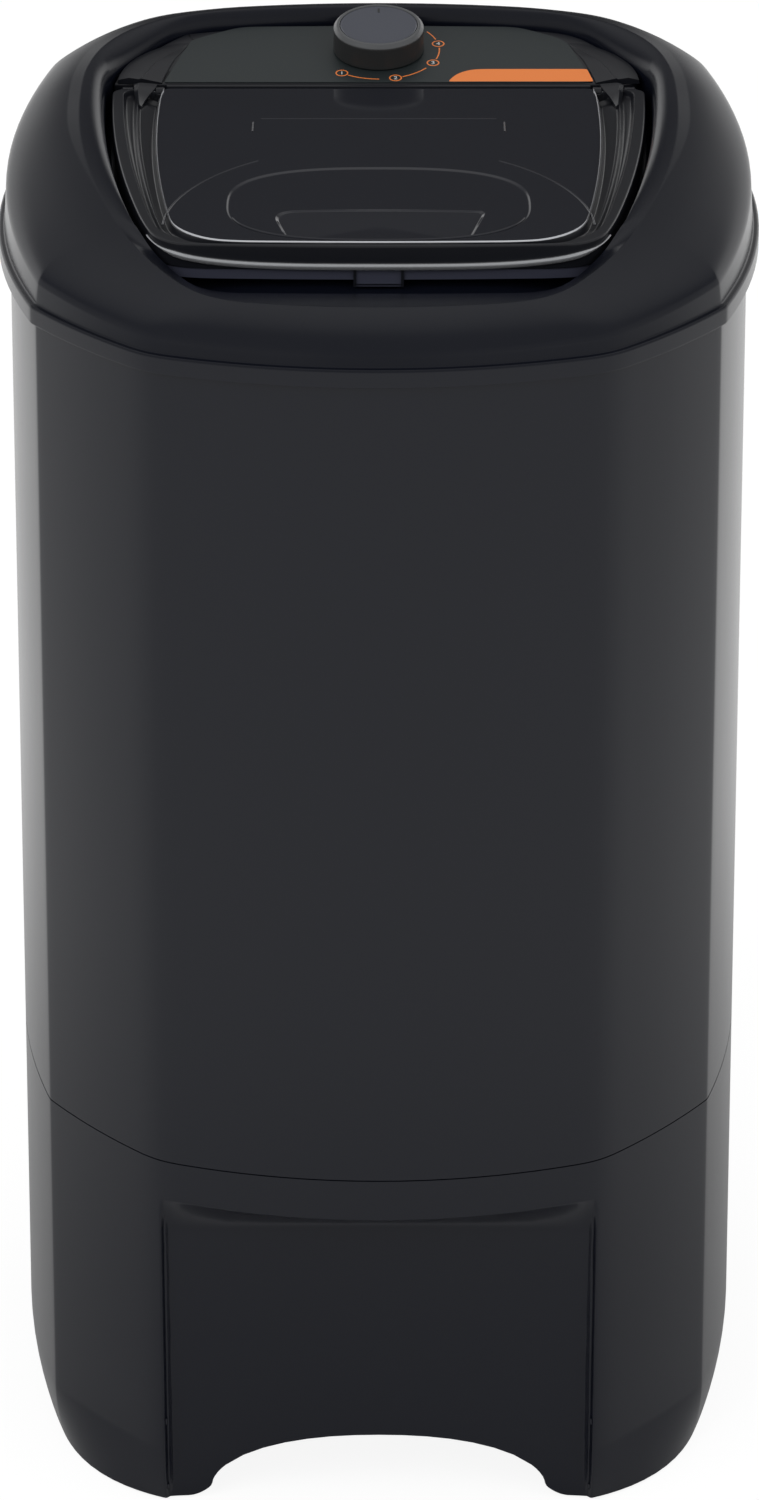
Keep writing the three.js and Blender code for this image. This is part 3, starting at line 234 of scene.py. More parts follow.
def bowed_loop(corners, bows, reach, steps):
    """A closed loop, counter-clockwise. Each stretch is its chord pushed out by 4t(1-t) times
    its bow, with t spaced by a cosine so that points crowd at the corners. Within its reach of
    a corner, at distance d along the loop, a point moves by (reach - d)^2 / (4 reach) times the
    sum of the two directions that leave the corner, which makes the corner a parabola."""
    corners = np.asarray(corners, float)
    chords = np.roll(corners, -1, axis=0) - corners
    normals = unit(np.stack([chords[:, 1], -chords[:, 0]], 1))
    bulge = np.asarray(bows, float)[:, None] * normals
    parts = []
    for corner, chord, push, count in zip(corners, chords, bulge, steps):
        t = (1 - np.cos(np.pi * np.arange(count) / count))[:, None] / 2
        parts.append(corner + t * chord + 4 * t * (1 - t) * push)
    loop = np.concatenate(parts)
    leaving = unit(chords + 4 * bulge)
    arriving = np.roll(unit(4 * bulge - chords), 1, axis=0)
    lengths = np.linalg.norm(np.roll(loop, -1, axis=0) - loop, axis=1)
    along = np.concatenate([[0], np.cumsum(lengths)])
    starts = np.concatenate([[0], np.cumsum(steps)[:-1]])
    moved = loop.copy()
    for start, turn, span in zip(starts, leaving + arriving, np.broadcast_to(reach, len(corners))):
        away = np.abs(along[:-1] - along[start])
        away = np.minimum(away, along[-1] - away)
        moved += (np.maximum(span - away, 0) ** 2 / (4 * max(span, 1e-6)))[:, None] * turn
    return moved


def eight_sided(front, side_front, side_rear, back, bows, reach):
    """A loop through eight corners, mirrored left to right, from the front left one. The bows
    are those of the front, front corner, side, rear corner and back, and the reaches those of
    the four kinds of corner."""
    right = [front, side_front, side_rear, back]
    corners = [(-front[0], front[1])] + right + [(-x, y) for x, y in right[:0:-1]]
    a, b, c, d, e = bows
    f, s, r, k = reach
    return bowed_loop(corners, (a, b, c, d, e, d, c, b), (f, f, s, r, k, k, r, s), stretch_steps)


def plan(scale=1.0, facet_bow=3.0):
    """The outline of cabinet, base and cover; its corners keep their reach as it grows."""
    corners = [(x * scale, y * scale) for x, y in ((127.7, -203), (193.4, -134), (193.4, 134), (127.7, 203))]
    return eight_sided(*corners, (22.7 * scale, facet_bow, 21.6 * scale, facet_bow, 22.7 * scale),
                       (13, 2.5, 2.5, 13))


def spread(z):
    return 1 + (lip_z - z) * flare


def inset(loop, distance):
    """The loop moved inwards along its normals."""
    tangent = unit(np.roll(loop, -1, axis=0) - np.roll(loop, 1, axis=0))
    return loop - distance * np.stack([tangent[:, 1], -tangent[:, 0]], 1)


def at(loop, z):
    """A flat loop lifted to a height, or to a height for each of its points."""
    return np.column_stack([loop, np.broadcast_to(z, len(loop))])


def rounded(rings, reaches, steps=4):
    """Rings of a skin with its edges rounded. Where a ring has a reach, it becomes a parabola
    that leaves the skin that far before the edge and meets it as far behind."""
    most = 0.42                          # of the way to the next ring
    rings = [np.asarray(ring, float) for ring in rings]
    out = [rings[0][None]]
    t = np.linspace(0, 1, steps + 1)[:, None, None]
    for before, here, after, reach in zip(rings, rings[1:], rings[2:], reaches):
        if not reach:
            out.append(here[None])
            continue
        a, b = (here + arm * np.minimum(reach / np.maximum(np.linalg.norm(arm, axis=1), 1e-9), most)[:, None]
                for arm in (before - here, after - here))
        out.append((1 - t) ** 2 * a + 2 * t * (1 - t) * here + t ** 2 * b)
    out.append(rings[-1][None])
    return np.concatenate(out)


def skin(grid, rows_close=False, columns_close=True, capped=False):
    """Points and faces of a grid, with its faces turned outwards. Rows or columns may close on
    themselves, and a cap fills the first and last row."""
    grid = np.asarray(grid, float)
    rows, columns, _ = grid.shape
    r, c = np.meshgrid(np.arange(rows if rows_close else rows - 1),
                       np.arange(columns if columns_close else columns - 1), indexing="ij")
    r2, c2 = (r + 1) % rows * columns, (c + 1) % columns
    r = r * columns
    cells = np.stack([r + c, r + c2, r2 + c2, r2 + c], -1).reshape(-1, 4)
    points = grid.reshape(-1, 3)
    corner = points[cells] - points.mean(0)
    area = np.cross(corner[:, 2] - corner[:, 0], corner[:, 3] - corner[:, 1])
    faces = cells.tolist()
    if capped:
        faces += [list(range(columns))[::-1], list(range((rows - 1) * columns, rows * columns))]
    if (area * corner.sum(1)).sum() < 0:
        faces = [face[::-1] for face in faces]
    return points, faces


def make_piece(name, skins, material, body="casing", replaced=None, crease=38):
    """One object from skins in millimetres, riding on a body and standing for CAD nodes."""
    points = np.concatenate([p for p, _ in skins]) * MM
    starts = np.cumsum([0] + [len(p) for p, _ in skins])
    faces = [[start + i for i in face] for (_, part), start in zip(skins, starts) for face in part]
    mesh = bpy.data.meshes.new(name)
    mesh.from_pydata(points.tolist(), [], faces)
    work = bmesh.new()
    work.from_mesh(mesh)
    bmesh.ops.remove_doubles(work, verts=work.verts, dist=2e-6)
    bmesh.ops.dissolve_degenerate(work, edges=work.edges, dist=1e-6)
    work.to_mesh(mesh)
    work.free()
    mesh.shade_smooth()
    mesh.set_sharp_from_angle(angle=math.radians(crease))
    mesh.materials.append(material)
    piece = bpy.data.objects.new(name, mesh)
    scene.collection.objects.link(piece)
    even = piece.modifiers.new("even_shading", "WEIGHTED_NORMAL")
    even.keep_sharp = True
    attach(piece, body)
    nodes = [name] if replaced is None else replaced
    if nodes:
        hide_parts(*nodes)
        stood_for.update(nodes)
    return piece


def cabinet_ring(z, inwards=0.0):
    return at(inset(plan(spread(z)), inwards), z)


foot_z = seam_z + gap / 2
low_z, high_z = foot_z + 60, lip_z - 60      # between these the wall runs without an edge
bore = unit(plan()) * 194.5
cabinet_rings = [cabinet_ring(low_z, wall), cabinet_ring(foot_z, wall),
                 *[cabinet_ring(z) for z in (foot_z, low_z, high_z, cabinet_top)], at(bore, cabinet_top),
                 at(bore, cabinet_top - wall), cabinet_ring(cabinet_top - wall, wall),
                 cabinet_ring(low_z, wall)]
cabinet_rings = rounded(cabinet_rings, (0.4, 0.9, 0, 0, 1.2, 0.5, 0.5, 1))[:-1]
make_piece("cabinet_body", [skin(cabinet_rings, rows_close=True)], shell_black)

# ------------------------ base
# The base is a separate black moulding under the cabinet. Its foot tucks in and rounds, its
# front is scooped back between two legs, and an arch is cut through front and back. Inside
# are a deck with the motor opening, three posts for the mounts and a pad over each foot.
sole_z = 1.5
back_limit = 225.7 * spread(220)
tuck_height, tuck_depth, tuck_bow = 42, 6, 9
recess_half, recess_depth, recess_hollow, recess_top, recess_blend = 131, 205, 5, 220, 26
front_depth, front_bow = 203 * spread(recess_top), 22.7 * spread(recess_top) + 2
arch_half, arch_height, arch_power, arch_splay, arch_flare = 104, 42, 2.3, 118, 7.2
arch_end = arch_half * 0.985         # here the flare takes over from the arch


def smooth(value, low, high):
    t = np.clip((value - low) / (high - low), 0, 1)
    return t * t * (3 - 2 * t)


def arch_edge(x):
    """Height of the base's lower edge: a superellipse arch whose foot flares out to the floor."""
    u = np.abs(x)
    crown = sole_z + arch_height * (1 - np.minimum(u / arch_half, 1) ** arch_power) ** (1 / arch_power)
    flared = sole_z + arch_flare * np.clip((arch_splay - u) / (arch_splay - arch_end), 0, 1) ** 2
    return np.maximum(crown, np.where(u > arch_end, flared, sole_z))


def base_loop(z, inwards=0.0):
    """The base's outline at a height, with its tucked and rounded foot and its scooped front."""
    t = max(0.0, 1 - z / tuck_height)
    loop = inset(base_plan(spread(z), 3 + tuck_bow * t), tuck_depth * t * t + inwards)
    x, y = loop.T
    y = np.minimum(y, back_limit - inwards)
    ease = (np.clip((z - recess_top + recess_blend) / recess_blend, 0, 1)) ** 1.6
    u = np.clip(x / recess_half, -1, 1)
    depth = recess_depth + (front_depth - recess_depth) * ease
    bow = -recess_hollow + (front_bow + recess_hollow) * ease
    face = -(depth - inwards) - bow * (1 - u * u)
    within = 1 - smooth(np.abs(x), recess_half - inwards - 3.2, recess_half - inwards + 0.6)
    if z < recess_top:
        y = np.where((y < 0) & (face > y), y + (face - y) * within, y)
    return np.column_stack([x, y])


def base_plan(scale, facet_bow):
    """The plan with extra points where the recess sides and the arch ends cut it."""
    loop = plan(scale, facet_bow)
    turn = np.unwrap(np.arctan2(loop[:, 1], loop[:, 0]))
    cuts = np.r_[126.6:132.4:9j, 99.5:104.4:9j, 105:118.5:7j, 88:98.5:6j]
    ends = np.arctan2(-206, np.r_[-cuts, cuts])
    turns = np.sort(np.r_[turn, turn[0] + np.mod(np.r_[ends, -ends] - turn[0], 2 * np.pi)])
    once_round = np.append(turn, turn[0] + 2 * np.pi)
    return np.column_stack([np.interp(turns, once_round, np.append(axis, axis[0])) for axis in loop.T])


tuck_rings = 13
levels = np.concatenate([np.linspace(0, tuck_height, tuck_rings), [70, 120, 160],
                         np.linspace(186, recess_top - 0.8, 16), recess_top + np.array([0, 1.5, 8]),
                         seam_z - np.array([1.2, 0.5, gap / 2])])


def base_wall(inwards):
    """Rings of the wall; below the arch each column starts at the arch's edge instead."""
    stack = np.array([base_loop(z, inwards) for z in levels])
    edge = arch_edge(np.array([base_loop(z)[:, 0] for z in levels]).mean(0))
    share = np.linspace(0, 1, tuck_rings)[:, None]
    heights = np.vstack([edge + (np.maximum(tuck_height, edge + 1) - edge) * share,
                         np.repeat(levels[tuck_rings:, None], len(edge), 1)])
    spot = np.clip(np.searchsorted(levels, heights, side="right") - 1, 0, len(levels) - 2)
    share = np.clip((heights - levels[spot]) / (levels[spot + 1] - levels[spot]), 0, 1)[..., None]
    column = np.arange(len(edge))
    flat = stack[spot, column] * (1 - share) + stack[spot + 1, column] * share
    return np.concatenate([flat, heights[..., None]], -1)


base_skins = [skin(np.concatenate([base_wall(0.0), base_wall(wall)[::-1]]), rows_close=True)]

deck_z, deck_thickness, deck_bore = 58.0, 4.0, 90.0
deck_edge = base_loop(deck_z, wall / 2)
deck_hole = unit(deck_edge) * deck_bore
base_skins.append(skin([at(deck_hole, deck_z), at(deck_edge, deck_z), at(deck_edge, deck_z + deck_thickness),
                        at(deck_hole, deck_z + deck_thickness)], rows_close=True))


def turned(profile, centre=(0.0, 0.0), sides=64, reaches=None, closed=False):
    """A profile of (radius, z) points turned about an upright axis; it may close on itself."""
    profile = np.asarray(profile, float)
    if reaches is not None:
        line = np.column_stack([profile[:, :1], np.zeros(len(profile)), profile[:, 1:]])[:, None, :]
        profile = rounded(line, reaches)[:, 0][:, [0, 2]]
    turn = np.arange(sides) * 2 * np.pi / sides
    grid = np.stack([centre[0] + profile[:, :1] * np.cos(turn), centre[1] + profile[:, :1] * np.sin(turn),
                     np.repeat(profile[:, 1:], sides, 1)], -1)
    return skin(grid, rows_close=closed)


post_circle, post_top, post_bore_floor = 118.0, 112.0, 92.0
for turn in np.radians((90, 210, 330)):
    place = (post_circle * math.cos(turn), post_circle * math.sin(turn))
    base_skins.append(turned([(0, deck_z + 1), (15, deck_z + 1), (15, post_top), (4, post_top),
                              (4, post_bore_floor), (0, post_bore_floor)], place, 32, (0, 0.8, 0.8, 0)))
foot_x, foot_y, foot_height, pad = 128.0, 170.0, 9.0, 24.0
foot_corners = ((-1, -1), (1, -1), (1, 1), (-1, 1))
for sx, sy in foot_corners:
    rim = base_loop(foot_height + 3, wall / 2)
    rim = rim[(rim[:, 0] * sx > foot_x - pad) & (rim[:, 1] * sy > foot_y - pad)]
    outline = np.concatenate([rim, [[sx * (foot_x - pad), sy * (foot_y - pad)]]])
    base_skins.append(skin([at(outline, foot_height + gap + up) for up in (0, wall)], capped=True))
make_piece("base", base_skins, shell_black, crease=42)

# ------------------------ fixings under and behind
# Four rubber feet carry the machine, each pushed into a pad of the base. Zinc-plated screws
# hold base and cover to the cabinet, and the same steel is used for the pins and the shaft.
rubber_black = finish("rubber_black", (0.009, 0.009, 0.01), 0.85, scale=900, variation=0.3, bump=0.2)
zinc_steel = finish("zinc_steel", (0.36, 0.38, 0.4), 0.34, 1.0, scale=160, variation=0.25, bump=0.05)
for number, (sx, sy) in enumerate(foot_corners, 1):
    make_piece(f"rubber_foot_{number}", [turned(
        [(0, 0), (13, 0), (15, 2), (13, 9), (5, 9), (5, 16), (0, 16)], (sx * foot_x, sy * foot_y), 48,
        (0.8, 1, 0.8, 0.6, 0.8))], rubber_black)

# ------------------------ top cover
# The cover is a deep black moulding that drops over the cabinet with a proud lip. Its skin
# rolls up to a crisp ridge, falls into a bowl round the lid, and ends in a collar at the mouth.
lip_height, lip_proud, lip_ledge = 10.5, 3.5, 4.0
cover_loop = eight_sided((127.7, -203), (193.4, -134), (198.8, 147), (139, 214.5), (22.7, 3, 23.4, 4.4, 11.4),
                         (13, 2.5, 7, 18))
ridge_loop = eight_sided((95.5, -185.5), (148.5, -88), (173.5, 142), (120, 198.5), (9.5, 6, 13.5, 5, 11.5),
                         (26, 34, 40, 40))
well_loop = eight_sided((93, -153), (135.5, -106.5), (163.5, 126), (119, 191.5), (1.5, 3, 8, 2.5, 12),
                        (18, 22, 20, 22))
seat_z, trough, slope_drop = 775.7, 13.0, 17.0
lid_front_top, lid_rear_top, lid_front, lid_rear = 797.0, 800.3, -126.5, 116.5
panel_front, panel_z, tilt = 126.0, 800.0, math.radians(9.1)


def ridge_height(y):
    return 787 + (y + 195) * 0.0787 + 2.2 * smooth(y, 70, 190)


def shoulder_height(y):
    return ridge_height(y) - (17 - 5 * smooth(y, -70, 120))


def lid_height(y):
    return lid_front_top + (lid_rear_top - lid_front_top) * (y - lid_front) / (lid_rear - lid_front)


def well_top(y):
    """The well's upper edge: level with the lid at its sides, lower in front, on the panel behind."""
    in_front = lid_height(y) - 1 - slope_drop * smooth(-y, 98, 152)
    return np.where(y > panel_front, panel_z + (y - panel_front) * math.tan(tilt) - 0.6, in_front)


def well_floor(y):
    return seat_z - trough * smooth(-y, 105, 135)


shelf = 0.4 + 7 * smooth(ridge_loop[:, 1], -60, 60)[:, None]
shelf_loop = inset(ridge_loop, -shelf)               # outside the ridge the skin first falls gently
roll_turn = math.radians(54)


def roll_ring(t, sunk=0.0, inwards=0.0):
    """The skin between shoulder and shelf at a share t: part of an ellipse over each point."""
    across = (1 - math.cos(t * roll_turn)) / (1 - math.cos(roll_turn))
    up = math.sin(t * roll_turn) / math.sin(roll_turn)
    outer = inset(cover_loop, 2)
    low, high = shoulder_height(outer[:, 1]), ridge_height(ridge_loop[:, 1]) - shelf[:, 0] * 0.2
    ring = outer + (shelf_loop - outer) * across
    return at(inset(ring, inwards), low + (high - low) * up - sunk)


def bowl_ring(t):
    """The skin between ridge and well at a share t: straight in front, rolling over elsewhere."""
    roll, turn = smooth(ridge_loop[:, 1], -120, -40), t * math.pi / 2
    across, down = t + (math.sin(turn) - t) * roll, t + (1 - math.cos(turn) - t) * roll
    high, low = ridge_height(ridge_loop[:, 1]), well_top(well_loop[:, 1])
    return at(ridge_loop + (well_loop - ridge_loop) * across[:, None], high + (low - high) * down)


def radius_at(loop, centre, turn):
    """A loop's distance from a centre in each direction, read along the loop."""
    arm = loop - centre
    angle = np.arctan2(arm[:, 1], arm[:, 0])
    order = np.argsort(angle)
    return np.interp(turn, angle[order], np.linalg.norm(arm, axis=1)[order], period=2 * np.pi)


def super_loop(like, centre, half_x, half_y, power):
    """A superellipse whose points lie in the same directions from its centre as another loop's."""
    arm = unit(like - np.asarray(centre))
    reach = ((np.abs(arm[:, 0]) / half_x) ** power + (np.abs(arm[:, 1]) / half_y) ** power) ** (-1 / power)
    return centre + arm * reach[:, None]


mouth_loop = super_loop(well_loop, (0.0, -3.0), 120, 104, 2.6)
lip_top, collar_z = lip_z + lip_height, seat_z - 26
well_y = well_loop[:, 1]
lip_loop, inside_lip = inset(cover_loop, 0.3 - lip_proud), inset(plan(), -gap)
outer_rings = [at(inside_lip, lip_z), at(lip_loop, lip_z), at(lip_loop, lip_top),
               at(inset(cover_loop, lip_ledge - lip_proud), lip_top + 0.4),
               *[roll_ring(t) for t in np.linspace(0, 1, 17)],
               *[bowl_ring(t) for t in (0, 0.2, 0.4, 0.6, 0.8)],
               at(well_loop, well_top(well_y)), at(well_loop, well_floor(well_y)), at(mouth_loop, seat_z),
               at(mouth_loop, collar_z), at(inset(mouth_loop, -wall), collar_z)]
outer_reach = (0.6, 1.4, 0.9, *([0] * 16), 0.6, 0.9, 0, 0, 0, 0, 1.3, 4, 3, 0.8)
inner_rings = [at(inset(mouth_loop, -wall), seat_z - wall),
               *[at(inset(well_loop, -wall), height(well_y) - wall) for height in (well_floor, well_top)],
               *[roll_ring(t, wall * t, wall * (1 - t) ** 0.7) for t in (1, 0.8, 0.6, 0.4, 0.2, 0)],
               at(inset(cover_loop, lip_ledge - lip_proud + wall), lip_top - wall + 0.4),
               at(inside_lip, lip_top - wall + 0.2)]
cover_rings = np.concatenate([rounded(outer_rings, outer_reach), np.array(inner_rings)])
make_piece("top_cover", [skin(cover_rings, rows_close=True)], shell_black, crease=50)

# ------------------------ control panel
# A wedge-shaped black housing closes the back of the bowl and carries the timer. Its front
# edge is softly broken, and the hinge's fixed knuckles stand in front of it at both sides.
lid_black = finish("lid_black", (0.0098, 0.0105, 0.0138), 0.3, ior=1.42, scale=500, variation=0.12, bump=0.03)
hinge_y, hinge_z, knuckle = 119.5, 797.3, 2.9


def on_panel(grid):
    """Points drawn flat, up the slope and off its face, laid on the panel."""
    x, v, w = np.moveaxis(np.asarray(grid, float), -1, 0)
    return np.stack([x, panel_front + v * math.cos(tilt) - w * math.sin(tilt),
                     panel_z + v * math.sin(tilt) + w * math.cos(tilt)], -1)


def up_slope(y):
    return (y - panel_front) / math.cos(tilt)


def on_hinge(middle, half, radius=knuckle, edge=0.5):
    """A cylinder on the hinge line with its edges broken, from its middle and half its length."""
    end, flat = radius - edge, half - edge
    points, faces = turned([(0, -half), (end, -half), (radius, -flat), (radius, flat), (end, half),
                            (0, half)], sides=40)
    return np.stack([middle + points[:, 2], hinge_y + points[:, 0], hinge_z + points[:, 1]], -1), faces


def block(x0, x1, y0, y1, z0, z1):
    return skin([at(np.array([(x0, y0), (x1, y0), (x1, y1), (x0, y1)]), z) for z in (z0, z1)], capped=True)


housing_loop = bowed_loop([(-160.4, up_slope(126)), (160.4, up_slope(126)), (117.5, up_slope(188.5)),
                           (-117.5, up_slope(188.5))], (0, 4.5, 11.5, 4.5), (3, 14, 14, 3), (24, 20, 36, 20))
housing_rings = [at(inset(housing_loop, 30), -23), at(housing_loop, -23.2), at(housing_loop, 0),
                 at(inset(housing_loop, 12), 0), at(housing_loop * 0 + (0, 30), 0)]
housing = [skin(on_panel(rounded(housing_rings, (0.6, 1.5, 0))))]
for side in (-1, 1):
    for near, far in ((129, 134.5), (147.5, 154.5)):
        middle, half = side * (near + far) / 2, (far - near) / 2
        housing += [on_hinge(middle, half), block(middle - half, middle + half, hinge_y, panel_front + 1,
                                                  hinge_z - knuckle, hinge_z + 0.8)]
make_piece("control_panel", housing, lid_black)
both_sides = ((-1, "left"), (1, "right"))
for side, name in both_sides:
    make_piece(f"hinge_pin_{name}", [on_hinge(side * 142, 13, 2, 0.4)], zinc_steel)

# ------------------------ panel film
# A thin grey polyester film covers the panel. It is printed in orange: the dial's arcs with
# their ringed numbers, and a plain band at the right.
film_grey = finish("film_grey", (0.018, 0.0235, 0.025), 0.42, scale=1500, variation=0.08, bump=0.05)
film_loop = bowed_loop([(-129.5, 1.2), (129.5, 1.2), (114.7, up_slope(178)), (98.5, up_slope(188)),
                        (83.4, up_slope(195.6)), (-83.4, up_slope(195.6)), (-98.5, up_slope(188)),
                        (-114.7, up_slope(178))], (0, 0.4, 0.6, 0.4, 1.0, 0.4, 0.6, 0.4),
                       (1, 6, 8, 8, 8, 8, 6, 1), (20, 12, 8, 8, 24, 8, 8, 12))
knob_v = up_slope(167.3)
film_top = 0.75
film_centre = np.array([0.0, knob_v])
shaft_clear = film_centre + unit(film_loop - film_centre) * 5
film_rings = [at(shaft_clear, 0.15), at(film_loop, 0.15), at(film_loop, film_top - 0.12),
              at(inset(film_loop, 0.15), film_top), at(shaft_clear, film_top)]
make_piece("panel_overlay", [skin(on_panel(film_rings), rows_close=True)], film_grey)

ink_height = 0.06


def ink(name, parts, material):
    """Printed shapes, each a pair of loops or a filled loop, as a skin of ink on the film."""
    skins = []
    for loops in parts:
        grid = [at(loop, film_top) for loop in loops]
        grid += [at(loop, film_top + ink_height) for loop in loops[::-1]]
        skins.append(skin(on_panel(grid), rows_close=len(loops) == 2, capped=len(loops) == 1))
    return make_piece(name, skins, material, replaced=())


def arc(radius, width, start, stop, count=48):
    """A band of a circle round the knob, from one bearing to another in degrees."""
    turn = np.radians(np.linspace(start, stop, count))
    edge = np.stack([np.cos(turn), np.sin(turn)], 1)
    return film_centre + np.concatenate([edge * (radius - width / 2), edge[::-1] * (radius + width / 2)])


def circle(centre, radius, count=40):
    turn = np.arange(count) * 2 * np.pi / count
    return np.asarray(centre) + radius * np.stack([np.cos(turn), np.sin(turn)], 1)


print_orange = finish("print_orange", (0.86, 0.235, 0.05), 0.42, scale=1500, variation=0.06, bump=0.03)
print_white = finish("print_white", (0.7, 0.7, 0.7), 0.45, scale=1500, variation=0.05, bump=0.03)
dial_radius, dial_line, ring_radius = 37.0, 0.8, 3.9
dial_stops = (233.0, 286.0, 333.0, 371.0)                # bearings of the numbers
dial_arcs = ((240.0, 270.5), (293.0, 321.0), (341.0, 363.0), (379.5, 397.0))
stops = [film_centre + dial_radius * np.array([math.cos(turn), math.sin(turn)])
         for turn in np.radians(dial_stops)]
shapes = [[arc(dial_radius, dial_line, *ends)] for ends in dial_arcs]
shapes += [[circle(spot, ring_radius - dial_line), circle(spot, ring_radius)] for spot in stops]
band = bowed_loop([(42.3, 1.9), (129.6, 1.9), (126.2, 17.2), (60, 17.2)], (0, 0, 0, 3.4), (1.0, 1.5, 1.5, 8),
                  (16, 8, 16, 16))
shapes.append([band])
ink("film_print", shapes, print_orange)
for number, spot in enumerate(stops, 1):
    words = bpy.data.curves.new(f"dial_number_{number}", "FONT")
    words.body, words.size, words.extrude = str(number), 5.2, ink_height / 2
    words.align_x = words.align_y = "CENTER"
    holder = bpy.data.objects.new("words", words)
    scene.collection.objects.link(holder)
    bpy.context.view_layer.update()
    flat = bpy.data.meshes.new_from_object(holder)
    points = np.array([v.co for v in flat.vertices]) + (*spot, film_top + ink_height / 2)
    faces = [list(face.vertices) for face in flat.polygons]
    bpy.data.objects.remove(holder)
    make_piece(f"dial_number_{number}", [(on_panel(points), faces)], print_white, replaced=())

# ------------------------ hinge covers
# Two fin-shaped black covers hide the hinges at the panel's front corners. Each is a small
# moulding of three bent faces that sweep back to one point on the film.
fin_start = 0.2                      # how far up the slope the front edge is


def swept(points, rows):
    """A curve through a few points, evenly spaced by a chord-length cubic (Catmull-Rom)."""
    points = np.asarray(points, float)
    padded = np.concatenate([2 * points[:1] - points[1:2], points, 2 * points[-1:] - points[-2:-1]])
    place = np.linspace(0, len(points) - 1 - 1e-6, rows)
    k = place.astype(int)
    t = (place - k)[:, None]
    a, b, c, d = padded[k], padded[k + 1], padded[k + 2], padded[k + 3]
    return b + 0.5 * t * (c - a + t * (2 * a - 5 * b + 4 * c - d + t * (3 * (b - c) + d - a)))


fin_tip = (115.6, 50.0, 0.5)
fin_lines = [
    [(157.4, fin_start, 0.1), (156.0, 10, 0.1), (151.3, 22.4, 0.1), (141.6, 36, 0.1), (127.3, 47.6, 0.1)],
    [(157.0, fin_start, 2.7), (155.4, 10, 2.7), (150.7, 22.2, 2.5), (141.2, 35.4, 1.9), (127.2, 47, 1.1)],
    [(150.6, fin_start, 4.2), (147.6, 10, 4.4), (141.4, 25.4, 4.0), (130.6, 39, 2.6), (122.5, 45.6, 1.3)],
    [(144.4, fin_start, 3.2), (141.2, 6, 3.6), (135.6, 20, 3.4), (127.4, 33, 2.4), (120.6, 42.4, 1.2)],
    [(143.4, fin_start, 3.8), (140.2, 6, 4.2), (134.6, 20, 4.0), (126.4, 33, 2.9), (120.1, 42.4, 1.5)],
    [(131.2, fin_start, 0.9), (128.9, 11.8, 0.9), (123.8, 31.5, 0.9), (119.6, 41, 0.7), (117.4, 46, 0.55)],
    [(130.7, fin_start, 0.1), (128.4, 11.8, 0.1), (123.3, 31.5, 0.1), (119.2, 41, 0.1), (117.1, 46, 0.1)]]
for side, name in both_sides:
    lines = np.array([swept([*line, fin_tip], 25) for line in fin_lines]) * (side, 1, 1)
    lines[:, -1] = lines[0, -1] - (0, 0, 0.35)
    fin = skin(on_panel(np.moveaxis(lines, 0, 1)), capped=True)
    make_piece(f"hinge_cover_{name}", [fin], lid_black, crease=22)

# ------------------------ timer knob
# The knob is a black drum with a light grey rim, a painted highlight on its top edge, and a
# blue-grey disc pressed into its top carries the pointer's line. It is pushed on the timer's
# shaft, which comes through the film.
knob_black = finish("knob_black", (0.0225, 0.0232, 0.0235), 0.38, scale=700, variation=0.15, bump=0.06)
grey_and_painted_highlight = finish("grey_and_painted_highlight", (0.085, 0.088, 0.092), 0.3, scale=700, variation=0.15, bump=0.05)
inlay_grey = finish("inlay_grey", (0.062, 0.067, 0.085), 0.36, scale=900, variation=0.08, bump=0.05)
knob_foot = film_top + 0.8
knob_top = knob_foot + 16.6
knob_floor = knob_top - 2.2
bore_top = knob_top - 5


def on_knob(profile, reaches=None, sides=96, closed=False):
    """A profile turned about the knob's axis, square to the panel."""
    points, faces = turned(profile, (0, knob_v), sides, reaches, closed)
    return on_panel(points), faces


make_piece("knob", [on_knob(
    [(0, knob_floor), (23.7, knob_floor), (23.7, knob_top - 2), (26.4, knob_top - 2.6),
     (27.3, knob_top - 3.2), (27.6, knob_foot), (24.6, knob_foot), (22.6, bore_top - 1), (7, bore_top - 1),
     (7, knob_foot + 1), (3.3, knob_foot + 1), (3.3, bore_top), (0, bore_top)],
    (0.3, 0.2, 0.3, 0.5, 0.6, 0.6, 1, 1, 0.4, 0.3, 0.2))], knob_black, "timer_knob")
# The rim's light grey is a painted highlight on the knob's top edge.
make_piece("knob_rim", [on_knob(
    [(23.8, knob_top - 1.9), (23.8, knob_top - 0.4), (24.3, knob_top), (25.6, knob_top - 0.1),
     (27.5, knob_top - 2.3), (27.5, knob_top - 3.0), (26.4, knob_top - 2.5)],
    (0.3, 0.4, 0.9, 0.7, 0.3), closed=True)], grey_and_painted_highlight, "timer_knob", ())
inlay_top = knob_floor + 1.75
make_piece("knob_cap", [on_knob(
    [(0, knob_floor + 0.15), (23.4, knob_floor + 0.15), (23.4, inlay_top), (22.6, inlay_top - 0.5),
     (0, inlay_top - 0.5)], (0.2, 0.3, 0.5))], inlay_grey, "timer_knob")
pointer = np.array([(-0.55, 16.4), (0.55, 16.4), (0.55, 21.4), (-0.55, 21.4)]) + (0, knob_v)
pointer = skin(on_panel([at(pointer, inlay_top - 0.55), at(pointer, inlay_top - 0.35)]), capped=True)
make_piece("knob_pointer", [pointer], knob_black, "timer_knob", ())

# ------------------------ lid frame
# The lid's frame is a black moulding. Along its sides a rim, a fine raised edge and a shallow
# channel run round the window; in front they draw together into one narrow rim.
lid_loop = eight_sided((107, -127), (131, -106), (160, 112), (155, 116.5), (2.5, 4, 6.3, 0.6, 0),
                       (14, 26, 3, 1.5))
pane_loop = eight_sided((86, -122.6), (119, -88), (131, 104), (124, 112), (1.4, 7.5, 4.6, 1, 0),
                        (16, 24, 4, 3))
frame_depth = 14.5
band_width = np.linalg.norm(pane_loop - lid_loop, axis=1)


def across_band(distance):
    """The loop at a distance inwards from the lid's edge, at most all the way to the window."""
    share = np.clip(distance / band_width, 0, 1)[:, None]
    return lid_loop + (pane_loop - lid_loop) * share


